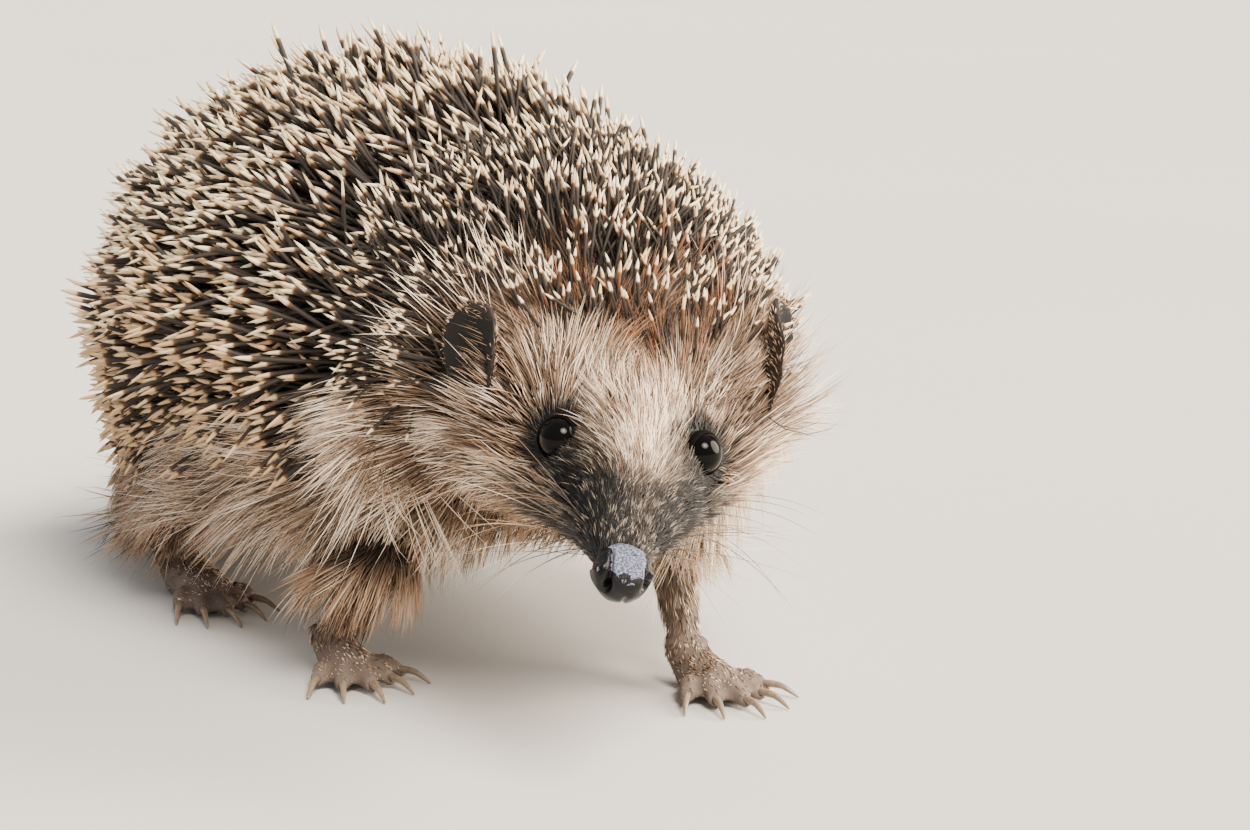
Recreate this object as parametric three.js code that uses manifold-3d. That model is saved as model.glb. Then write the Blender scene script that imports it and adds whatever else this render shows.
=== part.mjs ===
// A European hedgehog in mid-step, life size, as a still museum model. Millimetres, +Z up. The trunk lies
// along Y with the head end at -Y, so +X is the animal's left. The origin is on the floor, under the middle
// of the model's box.
//
// The flesh is one long loft, from the rump to the nose, whose rings follow the spine's own curve. Its
// surface is where the tips of the spines and hairs end. Thin cuts part it into head, lower jaw, neck,
// spiny mantle and underbody.
import * as THREE from "three";
import { mergeVertices } from "three/addons/utils/BufferGeometryUtils.js";
import Module from "manifold-3d";

const wasm = await Module();
wasm.setup();

// ---- Driving dimensions

const GAP = 0.3; // clearance between neighbouring pieces
const UP = new THREE.Vector3(0, 0, 1);

const REAR_LENGTH = 95; // from the broadest ring back to the rump's spine tips
const BODY_HALF_WIDTH = 55;
const AXIS_HEIGHT = 49; // the trunk's broadest level over the floor, at its broadest ring
const BACK_ABOVE_AXIS = 63; // spine tips over that level
const HEM_BELOW_AXIS = 37; // hair hem under it
const RUMP_SAG = 8; // how much lower the axis is at the rump
const HEM_FULLNESS = 0.3; // exponent that keeps the hem low towards the rump
const HAUNCH_HEM = 7.5; // how much lower the hair hangs over the haunches
const BELLY_ARCH = 0.18; // how much higher the belly is than the hem, as a share of HEM_BELOW_AXIS
const HEM_SQUARENESS = 4.2; // power of the flank's curve under the broadest level; 2 is an ellipse
const HEM_INSET = 0.78; // where the hem hangs lowest, as a share of the half-width

const EYES_MIDDLE = new THREE.Vector3(-23, -106, 53); // half-way between the eyes
const HEAD_TURN = THREE.MathUtils.degToRad(31); // to the animal's right
const HEAD_DROP = THREE.MathUtils.degToRad(26);
const HEAD_ROLL = THREE.MathUtils.degToRad(-8.5); // right side up
const SNOUT_BEND = -3.2; // the nose's sideways offset, towards the right

const EYE_RADIUS = 3.6;
const EYE_OUT = 11.4; // each eye's centre from the head's middle plane
const NOSE_FORWARD = 30.5; // nose pad's centre in front of the eyes
const NOSE_OVER = -1; // and over them
const NOSE_HALF = { across: 4.4, high: 4.3, deep: 4.0 };
const NOSTRIL = { radius: 1.1, forward: 3, over: -0.6, out: 3.2 }; // from the pad's centre

const SKIRT_LINE_HEIGHT = 35; // where spines give way to hair, over the floor at mid-trunk
const SKIRT_LINE_SLOPE = 0.25; // fall of that line for each millimetre towards the rump

const CLEAR = 500; // side of a block that is larger than the animal in every direction

const RING_SIDES = 26;
const SIDES = { left: 1, right: -1 };

// ---- The head's own frame: forward along the snout, up over the forehead, left across

const facing = (turn, drop) =>
  new THREE.Vector3(
    -Math.sin(turn) * Math.cos(drop),
    -Math.cos(turn) * Math.cos(drop),
    -Math.sin(drop),
  );
const FORWARD = facing(HEAD_TURN, HEAD_DROP);
const LEVEL_LEFT = new THREE.Vector3().crossVectors(UP, FORWARD).normalize();
const LEFT = LEVEL_LEFT.clone().applyAxisAngle(FORWARD, HEAD_ROLL);
const OVER = new THREE.Vector3().crossVectors(FORWARD, LEFT);
const HEAD_MATRIX = new THREE.Matrix4()
  .makeBasis(LEFT, FORWARD.clone().negate(), OVER)
  .setPosition(EYES_MIDDLE);

// A point given in the head's frame, as a point of the model.
function inHead(forward, over, left = 0) {
  return EYES_MIDDLE.clone()
    .addScaledVector(FORWARD, forward)
    .addScaledVector(OVER, over)
    .addScaledVector(LEFT, left);
}

// ---- Solids

// A closed geometry as a solid, with the vertices that its faces share merged.
function solidOf(geometry, matrix = new THREE.Matrix4()) {
  const bare = geometry.clone().applyMatrix4(matrix);
  bare.deleteAttribute("normal");
  bare.deleteAttribute("uv");
  const merged = mergeVertices(bare, 1e-4);
  return new wasm.Manifold(
    new wasm.Mesh({
      numProp: 3,
      vertProperties: merged.attributes.position.array,
      triVerts: new Uint32Array(merged.index.array),
    }),
  );
}

function geometryOf(solid) {
  const { vertProperties, triVerts, numProp } = solid.getMesh();
  const positions = new Float32Array((vertProperties.length / numProp) * 3);
  for (let i = 0; i * numProp < vertProperties.length; i++)
    positions.set(
      vertProperties.subarray(i * numProp, i * numProp + 3),
      i * 3,
    );
  const geometry = new THREE.BufferGeometry();
  geometry.setAttribute("position", new THREE.BufferAttribute(positions, 3));
  geometry.setIndex(new THREE.BufferAttribute(new Uint32Array(triVerts), 1));
  geometry.computeVertexNormals();
  return geometry;
}

// Rings of points, each with the same count, joined into one skin and closed by a fan at each end.
function loft(rings) {
  const sides = rings[0].length;
  const points = rings.flat();
  const faces = [];
  const at = (ring, side) => ring * sides + (side % sides);
  for (let r = 0; r + 1 < rings.length; r++)
    for (let s = 0; s < sides; s++) {
      faces.push(at(r, s), at(r + 1, s + 1), at(r + 1, s));
      faces.push(at(r, s), at(r, s + 1), at(r + 1, s + 1));
    }
  for (const [ring, turned] of [
    [0, true],
    [rings.length - 1, false],
  ]) {
    const centre = new THREE.Vector3();
    rings[ring].forEach((p) => centre.addScaledVector(p, 1 / sides));
    points.push(centre);
    for (let s = 0; s < sides; s++) {
      const edge = [at(ring, s), at(ring, s + 1)];
      faces.push(points.length - 1, ...(turned ? edge.reverse() : edge));
    }
  }
  const geometry = new THREE.BufferGeometry().setFromPoints(points);
  geometry.setIndex(faces);
  return geometry;
}

// A ring across the direction ahead: flatter or squarer than an ellipse as its power says, with a half-
// height of its own above and below the middle. Its arch is how much higher the belly's middle is than the
// hem on each side, as a share of the lower half-height.
function sectionRing(centre, ahead, roll, size, sides = RING_SIDES) {
  const left = new THREE.Vector3()
    .crossVectors(UP, ahead)
    .normalize()
    .applyAxisAngle(ahead, roll);
  const over = new THREE.Vector3().crossVectors(ahead, left);
  return Array.from({ length: sides }, (_, i) => {
    const angle = (2 * Math.PI * i) / sides;
    const [c, s] = [Math.cos(angle), Math.sin(angle)];
    const power = 2 / (s > 0 ? size.powerUp : size.powerDown);
    const across = size.wide * Math.sign(c) * Math.abs(c) ** power;
    const low = 1 - size.arch * Math.max(0, 1 - (across / (HEM_INSET * size.wide)) ** 2);
    const reach = s > 0 ? size.up : size.down * low;
    const height = reach * Math.sign(s) * Math.abs(s) ** power;
    return centre
      .clone()
      .addScaledVector(left, across)
      .addScaledVector(over, height);
  });
}

// A round limb through the points, with a radius at each, and domed ends.
function limb(points, radii, { sides = 12, steps = 8, dome = 2 } = {}) {
  const path = new THREE.CatmullRomCurve3(points, false, "catmullrom");
  const girth = new THREE.CatmullRomCurve3(
    radii.map((r) => new THREE.Vector3(r)),
    false,
    "catmullrom",
  );
  const rings = [];
  const addRing = (t, shift, share) => {
    const ahead = path.getTangent(t);
    const across = new THREE.Vector3(1, 0, 0);
    if (Math.abs(ahead.x) > 0.8) across.set(0, 0, 1);
    const side = new THREE.Vector3().crossVectors(across, ahead).normalize();
    const other = new THREE.Vector3().crossVectors(ahead, side);
    const radius = girth.getPoint(t).x;
    const centre = path.getPoint(t).addScaledVector(ahead, shift * radius);
    rings.push(
      Array.from({ length: sides }, (_, i) => {
        const angle = (2 * Math.PI * i) / sides;
        return centre
          .clone()
          .addScaledVector(side, Math.cos(angle) * radius * share)
          .addScaledVector(other, Math.sin(angle) * radius * share);
      }),
    );
  };
  for (let k = dome; k > 0; k--) {
    const lean = (Math.PI / 2) * (k / (dome + 0.5));
    addRing(0, -Math.sin(lean), Math.cos(lean));
  }
  for (let k = 0; k <= steps; k++) addRing(k / steps, 0, 1);
  for (let k = 1; k <= dome; k++) {
    const lean = (Math.PI / 2) * (k / (dome + 0.5));
    addRing(1, Math.sin(lean), Math.cos(lean));
  }
  return solidOf(loft(rings));
}

function ball(centre, radius, segments = 16) {
  const shift = new THREE.Matrix4().setPosition(centre);
  return solidOf(
    new THREE.SphereGeometry(radius, segments, segments / 2),
    shift,
  );
}

// ---- The long loft: its stations from the broadest ring forward to the nose

// size: half-width, height above and depth below the centre. powers: of the upper and lower curve. bend:
// how much of the head's turn, drop and roll the ring takes.
const station = (centre, size, powers, bend) => ({
  centre,
  size: new THREE.Vector3(...size),
  shape: new THREE.Vector3(...powers, bend),
});

const STATIONS = {
  middle: station(
    new THREE.Vector3(0, 0, AXIS_HEIGHT),
    [BODY_HALF_WIDTH, BACK_ABOVE_AXIS, HEM_BELOW_AXIS], [2, HEM_SQUARENESS], 0,
  ),
  withers: station(new THREE.Vector3(0, -27, 49.5), [53.5, 59.5, 35], [2, 3.6], 0),
  shoulders: station(new THREE.Vector3(0, -50, 51.5), [49, 50.5, 34], [2, 3], 0.1),
  nape: station(new THREE.Vector3(-5, -69, 54.5), [41, 39, 34], [2, 2.5], 0.38),
  ears: station(inHead(-24, -8.5), [32, 25, 25.5], [2, 2.1], 0.74),
  brow: station(inHead(-12, -8), [24.5, 18.5, 18.5], [1.85, 2], 0.93),
  eyes: station(inHead(0, -7), [17.5, 14, 12.5], [1.65, 2], 1),
  muzzle: station(inHead(11, -4.5, SNOUT_BEND * 0.15), [11.5, 8.7, 9], [1.9, 2], 1),
  snout: station(inHead(21, -2.8, SNOUT_BEND * 0.55), [7, 5.3, 6], [2, 2], 1),
  nose: station(inHead(28.5, -1.6, SNOUT_BEND * 0.9), [4.6, 3.8, 4], [2, 2], 1),
};
const NAMES = Object.keys(STATIONS);
const curveThrough = (key) =>
  new THREE.CatmullRomCurve3(
    NAMES.map((name) => STATIONS[name][key]),
    false,
    "catmullrom",
  );
const AXIS = curveThrough("centre");
const SIZE = curveThrough("size");
const SHAPE = curveThrough("shape");
const placeOf = (name) => NAMES.indexOf(name) / (NAMES.length - 1);

// The ring at a share of the way from the middle station to the nose, grown outwards if asked.
function frontRing(share, grow = 0) {
  const [wide, up, down] = SIZE.getPoint(share).toArray();
  const [powerUp, powerDown, bend] = SHAPE.getPoint(share).toArray();
  const size = {
    wide: wide + grow, up: up + grow, down: down + grow, powerUp, powerDown,
    arch: BELLY_ARCH * Math.max(0, 1 - share / placeOf("ears")),
  };
  const ahead = facing(HEAD_TURN * bend, HEAD_DROP * bend);
  return sectionRing(AXIS.getPoint(share), ahead, HEAD_ROLL * bend, size);
}

// Rings from one share of the front loft to another, a step or two for each station between them.
function frontRings(from, to, perStation, grow = 0) {
  const count = Math.max(
    1,
    Math.round((to - from) * (NAMES.length - 1) * perStation),
  );
  return Array.from({ length: count + 1 }, (_, i) =>
    frontRing(from + ((to - from) * i) / count, grow),
  );
}

// The rear is half a superellipsoid: at each angle its rings shrink as the cosine and step back as the
// sine.
function rearRings(count, grow = 0) {
  return Array.from({ length: count }, (_, i) => {
    const angle = (Math.PI / 2) * (1 - (i + 0.35) / (count + 0.35));
    const [shrink, back] = [Math.cos(angle), Math.sin(angle)];
    const size = {
      wide: BODY_HALF_WIDTH * shrink ** 0.9 + grow,
      up: BACK_ABOVE_AXIS * shrink ** 0.92 + grow,
      down:
        HEM_BELOW_AXIS * shrink ** HEM_FULLNESS +
        HAUNCH_HEM * Math.sin(2 * angle) +
        grow,
      powerUp: 2,
      powerDown: HEM_SQUARENESS + 1.6 * Math.sin(2 * angle) - 2 * back ** 2,
      arch: BELLY_ARCH * shrink,
    };
    const low = AXIS_HEIGHT - RUMP_SAG * (1 - shrink);
    const centre = new THREE.Vector3(0, back * (REAR_LENGTH + grow), low);
    return sectionRing(centre, new THREE.Vector3(0, -1, 0), 0, size);
  });
}

// Where the neck starts and ends, as shares of the front loft, and the share just past such a cut.
const NECK_BACK = placeOf("shoulders") + 0.035;
const NECK_FRONT = placeOf("ears") - 0.045;
const NECK_CUT = 2 * GAP; // along the axis, so that the inside of the bend keeps its gap too
function pastCut(share) {
  const step = 1e-3;
  const speed =
    AXIS.getPoint(share).distanceTo(AXIS.getPoint(share + step)) / step;
  return share + NECK_CUT / speed;
}

const trunkWhole = (grow = 0) =>
  solidOf(
    loft([...rearRings(10, grow), ...frontRings(0, NECK_BACK, 3, grow)]),
  );
const neckWhole = (grow = 0) =>
  solidOf(
    loft(frontRings(pastCut(NECK_BACK), NECK_FRONT, 5, grow)),
  );
const headWhole = (grow = 0) =>
  solidOf(loft(frontRings(pastCut(NECK_FRONT), 1, 3, grow)));

// ---- The line where the spines end: the top of a block, which falls towards the rump

function underSkirtLine(lift = 0) {
  const tilt = new THREE.Matrix4().makeRotationX(-Math.atan(SKIRT_LINE_SLOPE));
  tilt.setPosition(0, 0, SKIRT_LINE_HEIGHT - CLEAR / 2 + lift);
  return solidOf(new THREE.BoxGeometry(CLEAR, CLEAR, CLEAR), tilt);
}

// ---- Head pieces

function eyeCentre(side) {
  return inHead(0, 0, side * EYE_OUT);
}

function eye(side, grow = 0) {
  return ball(eyeCentre(side), EYE_RADIUS + grow, 14);
}

// The wet pad on the snout's end: a rounded button with a nostril dent on each side.
function nosePad(grow = 0) {
  const shape = new THREE.SphereGeometry(1, 14, 8);
  const place = HEAD_MATRIX.clone()
    .setPosition(inHead(NOSE_FORWARD, NOSE_OVER, SNOUT_BEND))
    .multiply(
      new THREE.Matrix4().makeScale(
        NOSE_HALF.across + grow, NOSE_HALF.deep + grow, NOSE_HALF.high + grow,
      ),
    );
  const pad = solidOf(shape, place);
  if (grow) return pad;
  const { radius, forward, over, out } = NOSTRIL;
  const nostril = (side) =>
    ball(inHead(NOSE_FORWARD + forward, NOSE_OVER + over, SNOUT_BEND + side * out), radius, 8);
  return pad.subtract(nostril(1)).subtract(nostril(-1));
}

// Everything under the mouth line, from the snout's tip back to the mouth's corner.
const JAW = { front: 23, corner: 1, lineFront: -5.2, lineCorner: -10.5, deep: 20, wide: 60 };
function jawWedge(grow = 0) {
  const fall = Math.atan2(
    JAW.lineFront - JAW.lineCorner,
    JAW.front - JAW.corner,
  );
  const middle = inHead(
    (JAW.front + JAW.corner) / 2,
    (JAW.lineFront + JAW.lineCorner) / 2,
  );
  const matrix = HEAD_MATRIX.clone()
    .setPosition(middle)
    .multiply(new THREE.Matrix4().makeRotationX(-fall))
    .multiply(new THREE.Matrix4().makeTranslation(0, 0, grow - JAW.deep / 2));
  const length = JAW.front - JAW.corner + 2 * grow;
  return solidOf(new THREE.BoxGeometry(JAW.wide, length, JAW.deep), matrix);
}

// An ear: a thin cup, widest at its middle, whose ring at each height is a strip bent round the ear's
// hollow. The left one is laid further back than the right one.
const EAR = {
  high: 14.5, halfWidth: 5.9, footWidth: 4.3, widestAt: 0.5, thick: 1.7, cup: 2.8, riseCup: 0.35,
  out: 24.4,
  back: { left: 20, right: 16 },
  over: { left: 0.4, right: -3.6 },
  faceOut: 48, leanOut: 14, leanBack: 12, // degrees
};
function ear(name) {
  const side = SIDES[name];
  const strip = 8;
  const levels = 6;
  const rings = Array.from({ length: levels + 1 }, (_, i) => {
    const rise = Math.sin((i / (levels + 0.4)) * (Math.PI / 2));
    const past = Math.max(0, rise - EAR.widestAt) / (1 - EAR.widestAt);
    const before = Math.min(1, rise / EAR.widestAt);
    const foot = EAR.footWidth / EAR.halfWidth;
    const share =
      (foot + (1 - foot) * Math.sin((before * Math.PI) / 2)) *
      Math.sqrt(1 - past ** 2);
    const point = (k, face) => {
      const across = Math.cos((Math.PI * k) / strip) * share;
      const rim = Math.sin((Math.PI * k) / strip);
      const hollow = EAR.cup * (across ** 2 + EAR.riseCup * rise ** 2);
      return new THREE.Vector3(
        across * EAR.halfWidth,
        face * (EAR.thick / 2) * rim - hollow,
        rise * EAR.high,
      );
    };
    const back = Array.from({ length: strip + 1 }, (_, k) => point(k, 1));
    const front = Array.from({ length: strip - 1 }, (_, k) =>
      point(strip - 1 - k, -1),
    );
    return [...back, ...front];
  });
  const turns = new THREE.Euler(
    THREE.MathUtils.degToRad(-EAR.leanBack),
    THREE.MathUtils.degToRad(side * EAR.leanOut),
    THREE.MathUtils.degToRad(side * EAR.faceOut),
    "ZYX",
  );
  const place = HEAD_MATRIX.clone()
    .setPosition(inHead(-EAR.back[name], EAR.over[name], side * EAR.out))
    .multiply(new THREE.Matrix4().makeRotationFromEuler(turns));
  return solidOf(loft(rings), place);
}

// ---- Legs and feet

// where: the wrist or ankle's place on the floor plan. hip: where the leg enters the body.
const LEGS = {
  fore_left: { hip: [18, -54, 34], knee: [17, -61.5, 20], where: [12.8, -72.5], heading: 6, hind: false },
  fore_right: { hip: [-27, -44, 34], knee: [-31, -37, 20], where: [-34, -28], heading: 10, hind: false },
  hind_left: { hip: [27, 55, 26], knee: [30, 62, 17], where: [31, 73], heading: -8, hind: true },
  hind_right: { hip: [-28, 52, 28], knee: [-31, 46, 18], where: [-31, 39], heading: 8, hind: true },
};
// palm and wide: the sole's length and its half-width. leg: the leg's radius. toes: each toe's length.
// spread: degrees between toes.
const FOOT = {
  fore: {
    palm: 11, wide: 4.9, high: 3.6, ankle: 9, leg: 3.8,
    toes: [6.2, 8.2, 9, 8.4, 6.6], toe: 1.8, spread: 17, claw: 6,
  },
  hind: {
    palm: 19, wide: 5.8, high: 3.8, ankle: 10, leg: 5.4,
    toes: [5.5, 8.2, 9.2, 8.8, 6.2], toe: 1.9, spread: 12, claw: 7,
  },
};
const CLAW = { root: 0.85, tip: 0.28, level: 2.1, arch: 0.5, drop: 1.6 };
const TOE_COUNT = 5;
const TOE_PITCH = 0.42; // between the toes' roots, as a share of the sole's half-width
const PALM_LEVEL = 0.75; // height of the sole's middle line, as a share of its height
const LEG_SHARES = [1.6, 1.25, 0.9]; // radius at hip, knee and ankle, as shares of the leg's
const ANKLE_CUT = 1; // how far under the ankle's level the leg is parted from the foot

const footKind = (leg) => (leg.hind ? FOOT.hind : FOOT.fore);

function footMatrix(leg) {
  return new THREE.Matrix4()
    .makeRotationZ(THREE.MathUtils.degToRad(-leg.heading))
    .setPosition(leg.where[0], leg.where[1], 0);
}

// One toe's root, direction and tip in the foot's own frame, where the foot points along -Y from the ankle.
function toeLine(kind, index) {
  const fan = index - (TOE_COUNT - 1) / 2;
  const turn = THREE.MathUtils.degToRad(fan * kind.spread);
  const ahead = new THREE.Vector3(Math.sin(turn), -Math.cos(turn), 0);
  const root = new THREE.Vector3(
    fan * kind.wide * TOE_PITCH,
    -kind.palm + Math.abs(fan) * 1.6,
    kind.toe + 0.5,
  );
  const tip = root
    .clone()
    .addScaledVector(ahead, kind.toes[index])
    .setZ(kind.toe - 0.1);
  return { root, ahead, tip };
}

// The foot without its toes, from the ankle to the ball, in the foot's own frame.
function palm(kind, grow = 0) {
  const low = kind.high * PALM_LEVEL;
  return limb(
    [
      new THREE.Vector3(0, 1.2, kind.ankle + 3),
      new THREE.Vector3(0, 0, low + 1.5),
      new THREE.Vector3(0, -kind.palm * 0.5, low),
      new THREE.Vector3(0, -kind.palm, low * 0.85),
    ],
    [kind.leg * 0.9, kind.wide * 0.86, kind.wide * 0.86, kind.wide * 0.8].map(
      (radius) => radius + grow,
    ),
    { sides: 8, steps: 4, dome: 1 },
  );
}

function footSolid(leg) {
  const kind = footKind(leg);
  let foot = palm(kind);
  for (let i = 0; i < TOE_COUNT; i++) {
    const { root, ahead, tip } = toeLine(kind, i);
    const knuckle = root
      .clone()
      .addScaledVector(ahead, kind.toes[i] * 0.5)
      .setZ(kind.toe + 1);
    foot = foot.add(
      limb(
        [root, knuckle, tip],
        [1.05, 1, 0.85].map((share) => kind.toe * share),
        { sides: 6, steps: 2, dome: 1 },
      ),
    );
  }
  const ground = solidOf(
    new THREE.BoxGeometry(CLEAR, CLEAR, CLEAR),
    new THREE.Matrix4().setPosition(0, 0, -CLEAR / 2),
  );
  return foot.subtract(ground).transform(footMatrix(leg).toArray());
}

// A claw: a thin horn that curls down from the toe's end to just above the floor.
function clawSolid(leg, index, grow = 0) {
  const kind = footKind(leg);
  const { ahead, tip } = toeLine(kind, index);
  const along = (share) =>
    tip
      .clone()
      .addScaledVector(ahead, kind.toe * 0.2 + share * kind.claw)
      .setZ(CLAW.level + CLAW.arch * Math.sin(share * Math.PI) - CLAW.drop * share ** 2);
  const claw = limb(
    [along(0), along(0.5), along(1)],
    [CLAW.root + grow, CLAW.root * 0.75 + grow, CLAW.tip + grow],
    { sides: 6, steps: 2, dome: 1 },
  );
  return claw.transform(footMatrix(leg).toArray());
}

function legSolid(leg, grow = 0) {
  const kind = footKind(leg);
  const ankle = new THREE.Vector3(0, 0.6, kind.ankle - 4).applyMatrix4(
    footMatrix(leg),
  );
  return limb(
    [new THREE.Vector3(...leg.hip), new THREE.Vector3(...leg.knee), ankle],
    LEG_SHARES.map((share) => kind.leg * share + grow),
    { sides: 8, steps: 4, dome: 1 },
  );
}

// ---- The tail: a short tapering stub under the rump

const TAIL = {
  from: new THREE.Vector3(0, 84, 24),
  to: new THREE.Vector3(0, 99, 15),
  root: 3.6,
  tip: 1.5,
};
function tailSolid() {
  const middle = TAIL.from.clone().lerp(TAIL.to, 0.5).setZ(18);
  return limb(
    [TAIL.from, middle, TAIL.to],
    [TAIL.root, (TAIL.root + TAIL.tip) / 2, TAIL.tip],
    { sides: 8, steps: 4, dome: 1 },
  );
}

// ---- Finishes

const paint = (color, roughness, metalness = 0) =>
  new THREE.MeshStandardMaterial({ color, roughness, metalness });
const FINISHES = {
  spines: paint(0x6b5a47, 0.55),
  hair: paint(0x9a8570, 0.8),
  face: paint(0xb39d85, 0.8),
  legHair: paint(0x6a5a50, 0.8),
  footSkin: paint(0x4a3f3a, 0.7),
  horn: paint(0x8b7d6e, 0.45),
  nose: paint(0x17130f, 0.25),
  eye: paint(0x070606, 0.08),
  ear: paint(0x4c413a, 0.75),
};

function piece(name, solid, finish) {
  const mesh = new THREE.Mesh(geometryOf(solid), finish);
  mesh.name = name;
  return mesh;
}

// ---- The whole animal

const model = new THREE.Group();

function buildHead() {
  const group = new THREE.Group();
  let face = headWhole();
  const jaw = face.intersect(jawWedge(-GAP));
  face = face.subtract(jawWedge()).subtract(nosePad(GAP));
  const headSkin = headWhole(GAP);
  const neckSkin = neckWhole(GAP);
  const trunkSkin = trunkWhole(GAP);
  for (const [name, side] of Object.entries(SIDES)) {
    face = face.subtract(eye(side, GAP));
    group.add(piece(`eye_${name}`, eye(side), FINISHES.eye));
    const shell = ear(name)
      .subtract(headSkin)
      .subtract(neckSkin)
      .subtract(trunkSkin);
    group.add(piece(`ear_${name}`, largest(shell), FINISHES.ear));
  }
  group.add(piece("head", face, FINISHES.face));
  group.add(piece("lower_jaw", largest(jaw.subtract(nosePad(GAP))), FINISHES.face));
  group.add(piece("nose", nosePad(), FINISHES.nose));
  return group;
}

// A cut can leave crumbs beside the piece that is wanted.
function largest(solid) {
  return solid
    .decompose()
    .reduce((a, b) => (a.volume() > b.volume() ? a : b));
}

// The room that the legs and feet take up in the flesh over them, with clearance.
function legRoom() {
  const rooms = Object.values(LEGS).flatMap((leg) => [
    legSolid(leg, GAP),
    palm(footKind(leg), GAP).transform(footMatrix(leg).toArray()),
  ]);
  return rooms.reduce((all, room) => all.add(room));
}

function buildTrunk() {
  const group = new THREE.Group();
  const room = legRoom();
  const trunk = trunkWhole();
  const upper = trunk.subtract(underSkirtLine());
  const lower = trunk.intersect(underSkirtLine(-GAP)).subtract(room);
  const tail = tailSolid().subtract(trunkWhole(GAP));
  group.add(piece("neck", neckWhole().subtract(room), FINISHES.hair));
  group.add(piece("spiny_mantle", upper, FINISHES.spines));
  group.add(piece("underbody", largest(lower), FINISHES.hair));
  group.add(piece("tail", largest(tail), FINISHES.legHair));
  return group;
}

// The level where a leg is parted from its foot, as a block that holds all above it.
function aboveAnkle(leg, lift = 0) {
  const [x, y] = leg.where;
  const block = new THREE.BoxGeometry(CLEAR, CLEAR, CLEAR);
  const low = footKind(leg).ankle - ANKLE_CUT + lift;
  return solidOf(block, new THREE.Matrix4().setPosition(x, y, low + CLEAR / 2));
}

function buildLegs() {
  const group = new THREE.Group();
  for (const [name, leg] of Object.entries(LEGS)) {
    let foot = footSolid(leg).subtract(aboveAnkle(leg, -GAP));
    for (let i = 0; i < TOE_COUNT; i++) {
      foot = foot.subtract(clawSolid(leg, i, GAP));
      group.add(piece(`claw_${name}_${i + 1}`, clawSolid(leg, i), FINISHES.horn));
    }
    const shank = legSolid(leg)
      .intersect(aboveAnkle(leg))
      .intersect(underSkirtLine(-GAP));
    group.add(piece(`leg_${name}`, largest(shank), FINISHES.legHair));
    group.add(piece(`foot_${name}`, largest(foot), FINISHES.footSkin));
  }
  return group;
}

model.add(buildHead(), buildTrunk(), buildLegs());

// The origin goes to the floor under the middle of the box.
const box = new THREE.Box3().setFromObject(model);
const middle = box.getCenter(new THREE.Vector3());
model.position.set(-middle.x, -middle.y, 0);

export default model;
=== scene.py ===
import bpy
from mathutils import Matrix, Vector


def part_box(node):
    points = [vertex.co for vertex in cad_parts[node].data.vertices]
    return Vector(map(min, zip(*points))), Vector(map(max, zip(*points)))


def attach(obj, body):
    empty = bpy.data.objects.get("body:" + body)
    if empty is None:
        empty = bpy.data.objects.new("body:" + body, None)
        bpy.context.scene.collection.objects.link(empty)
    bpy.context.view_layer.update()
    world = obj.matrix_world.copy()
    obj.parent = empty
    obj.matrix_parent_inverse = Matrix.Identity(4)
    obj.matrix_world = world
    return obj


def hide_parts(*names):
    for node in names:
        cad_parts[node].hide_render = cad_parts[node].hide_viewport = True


bl_info = {
    "name": "Walking Hedgehog",
    "version": (1, 0, 0),
    "blender": (4, 5, 0),
    "location": "View3D > Sidebar > Hedgehog",
    "description": "Grows the skin, spines and hair of a hedgehog over its frame",
    "category": "Mesh",
}

from functools import cache
from math import cos, pi, radians, sin

import bpy
import numpy as np
from bpy.props import FloatProperty, FloatVectorProperty, PointerProperty
from mathutils import Matrix, Vector

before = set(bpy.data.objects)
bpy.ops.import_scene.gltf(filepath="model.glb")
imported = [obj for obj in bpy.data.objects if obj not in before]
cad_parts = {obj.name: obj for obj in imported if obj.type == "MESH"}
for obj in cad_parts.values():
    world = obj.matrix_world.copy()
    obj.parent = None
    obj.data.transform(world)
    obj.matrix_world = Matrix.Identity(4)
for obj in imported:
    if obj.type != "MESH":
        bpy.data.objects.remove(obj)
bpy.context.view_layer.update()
BODY = "root"
MM = 0.001
UP = np.array([0.0, 0.0, 1.0])
BACKWARDS = np.array([0.0, 1.0, 0.0])
SIDES = {"left": 1, "right": -1}
LIMBS = ("fore_left", "fore_right", "hind_left", "hind_right")


# ---- Arrays of points


def unit(v):
    """Each vector divided by its length."""
    return v / np.maximum(np.linalg.norm(v, axis=-1, keepdims=True), 1e-12)


def dot(a, b):
    """Products of the coordinates, summed for each pair of vectors."""
    return np.sum(a * b, axis=-1)


def ramp(x, start, end):
    """0 at start and before, 1 at end and after, and a smooth S between."""
    share = np.clip((x - start) / (end - start), 0.0, 1.0)
    return share * share * (3.0 - 2.0 * share)


def ramp_mm(x, start, end):
    """The same ramp, from start to end in millimetres."""
    return ramp(x, start * MM, end * MM)


def blend(a, b, share):
    """a where share is 0, b where it is 1, and a straight mix between."""
    return a + (b - a) * share


def table(x, *rows):
    """Straight lines between the rows (x, value), all in millimetres."""
    at, value = np.array(rows, dtype=float).T
    return np.interp(x / MM, at, value) * MM


def square_distances(points, others):
    """Squared distance in square millimetres from each point to each other point: the sum of their
    own squares, less twice their product."""
    p, q = points / MM, others / MM
    return dot(p, p)[:, None] + dot(q, q)[None] - 2 * p @ q.T


POINTS_AT_ONCE = 20000  # how many points are compared with all others at a time


def nearest_of(points, others):
    """Which of the others is nearest to each point, and how far it is."""
    which, far = [], []
    for part in np.array_split(points, len(points) // POINTS_AT_ONCE + 1):
        squares = square_distances(part, others)
        which.append(np.argmin(squares, axis=1))
        far.append(np.sqrt(np.maximum(squares[np.arange(len(part)), which[-1]], 0)) * MM)
    return np.concatenate(which), np.concatenate(far)


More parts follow.
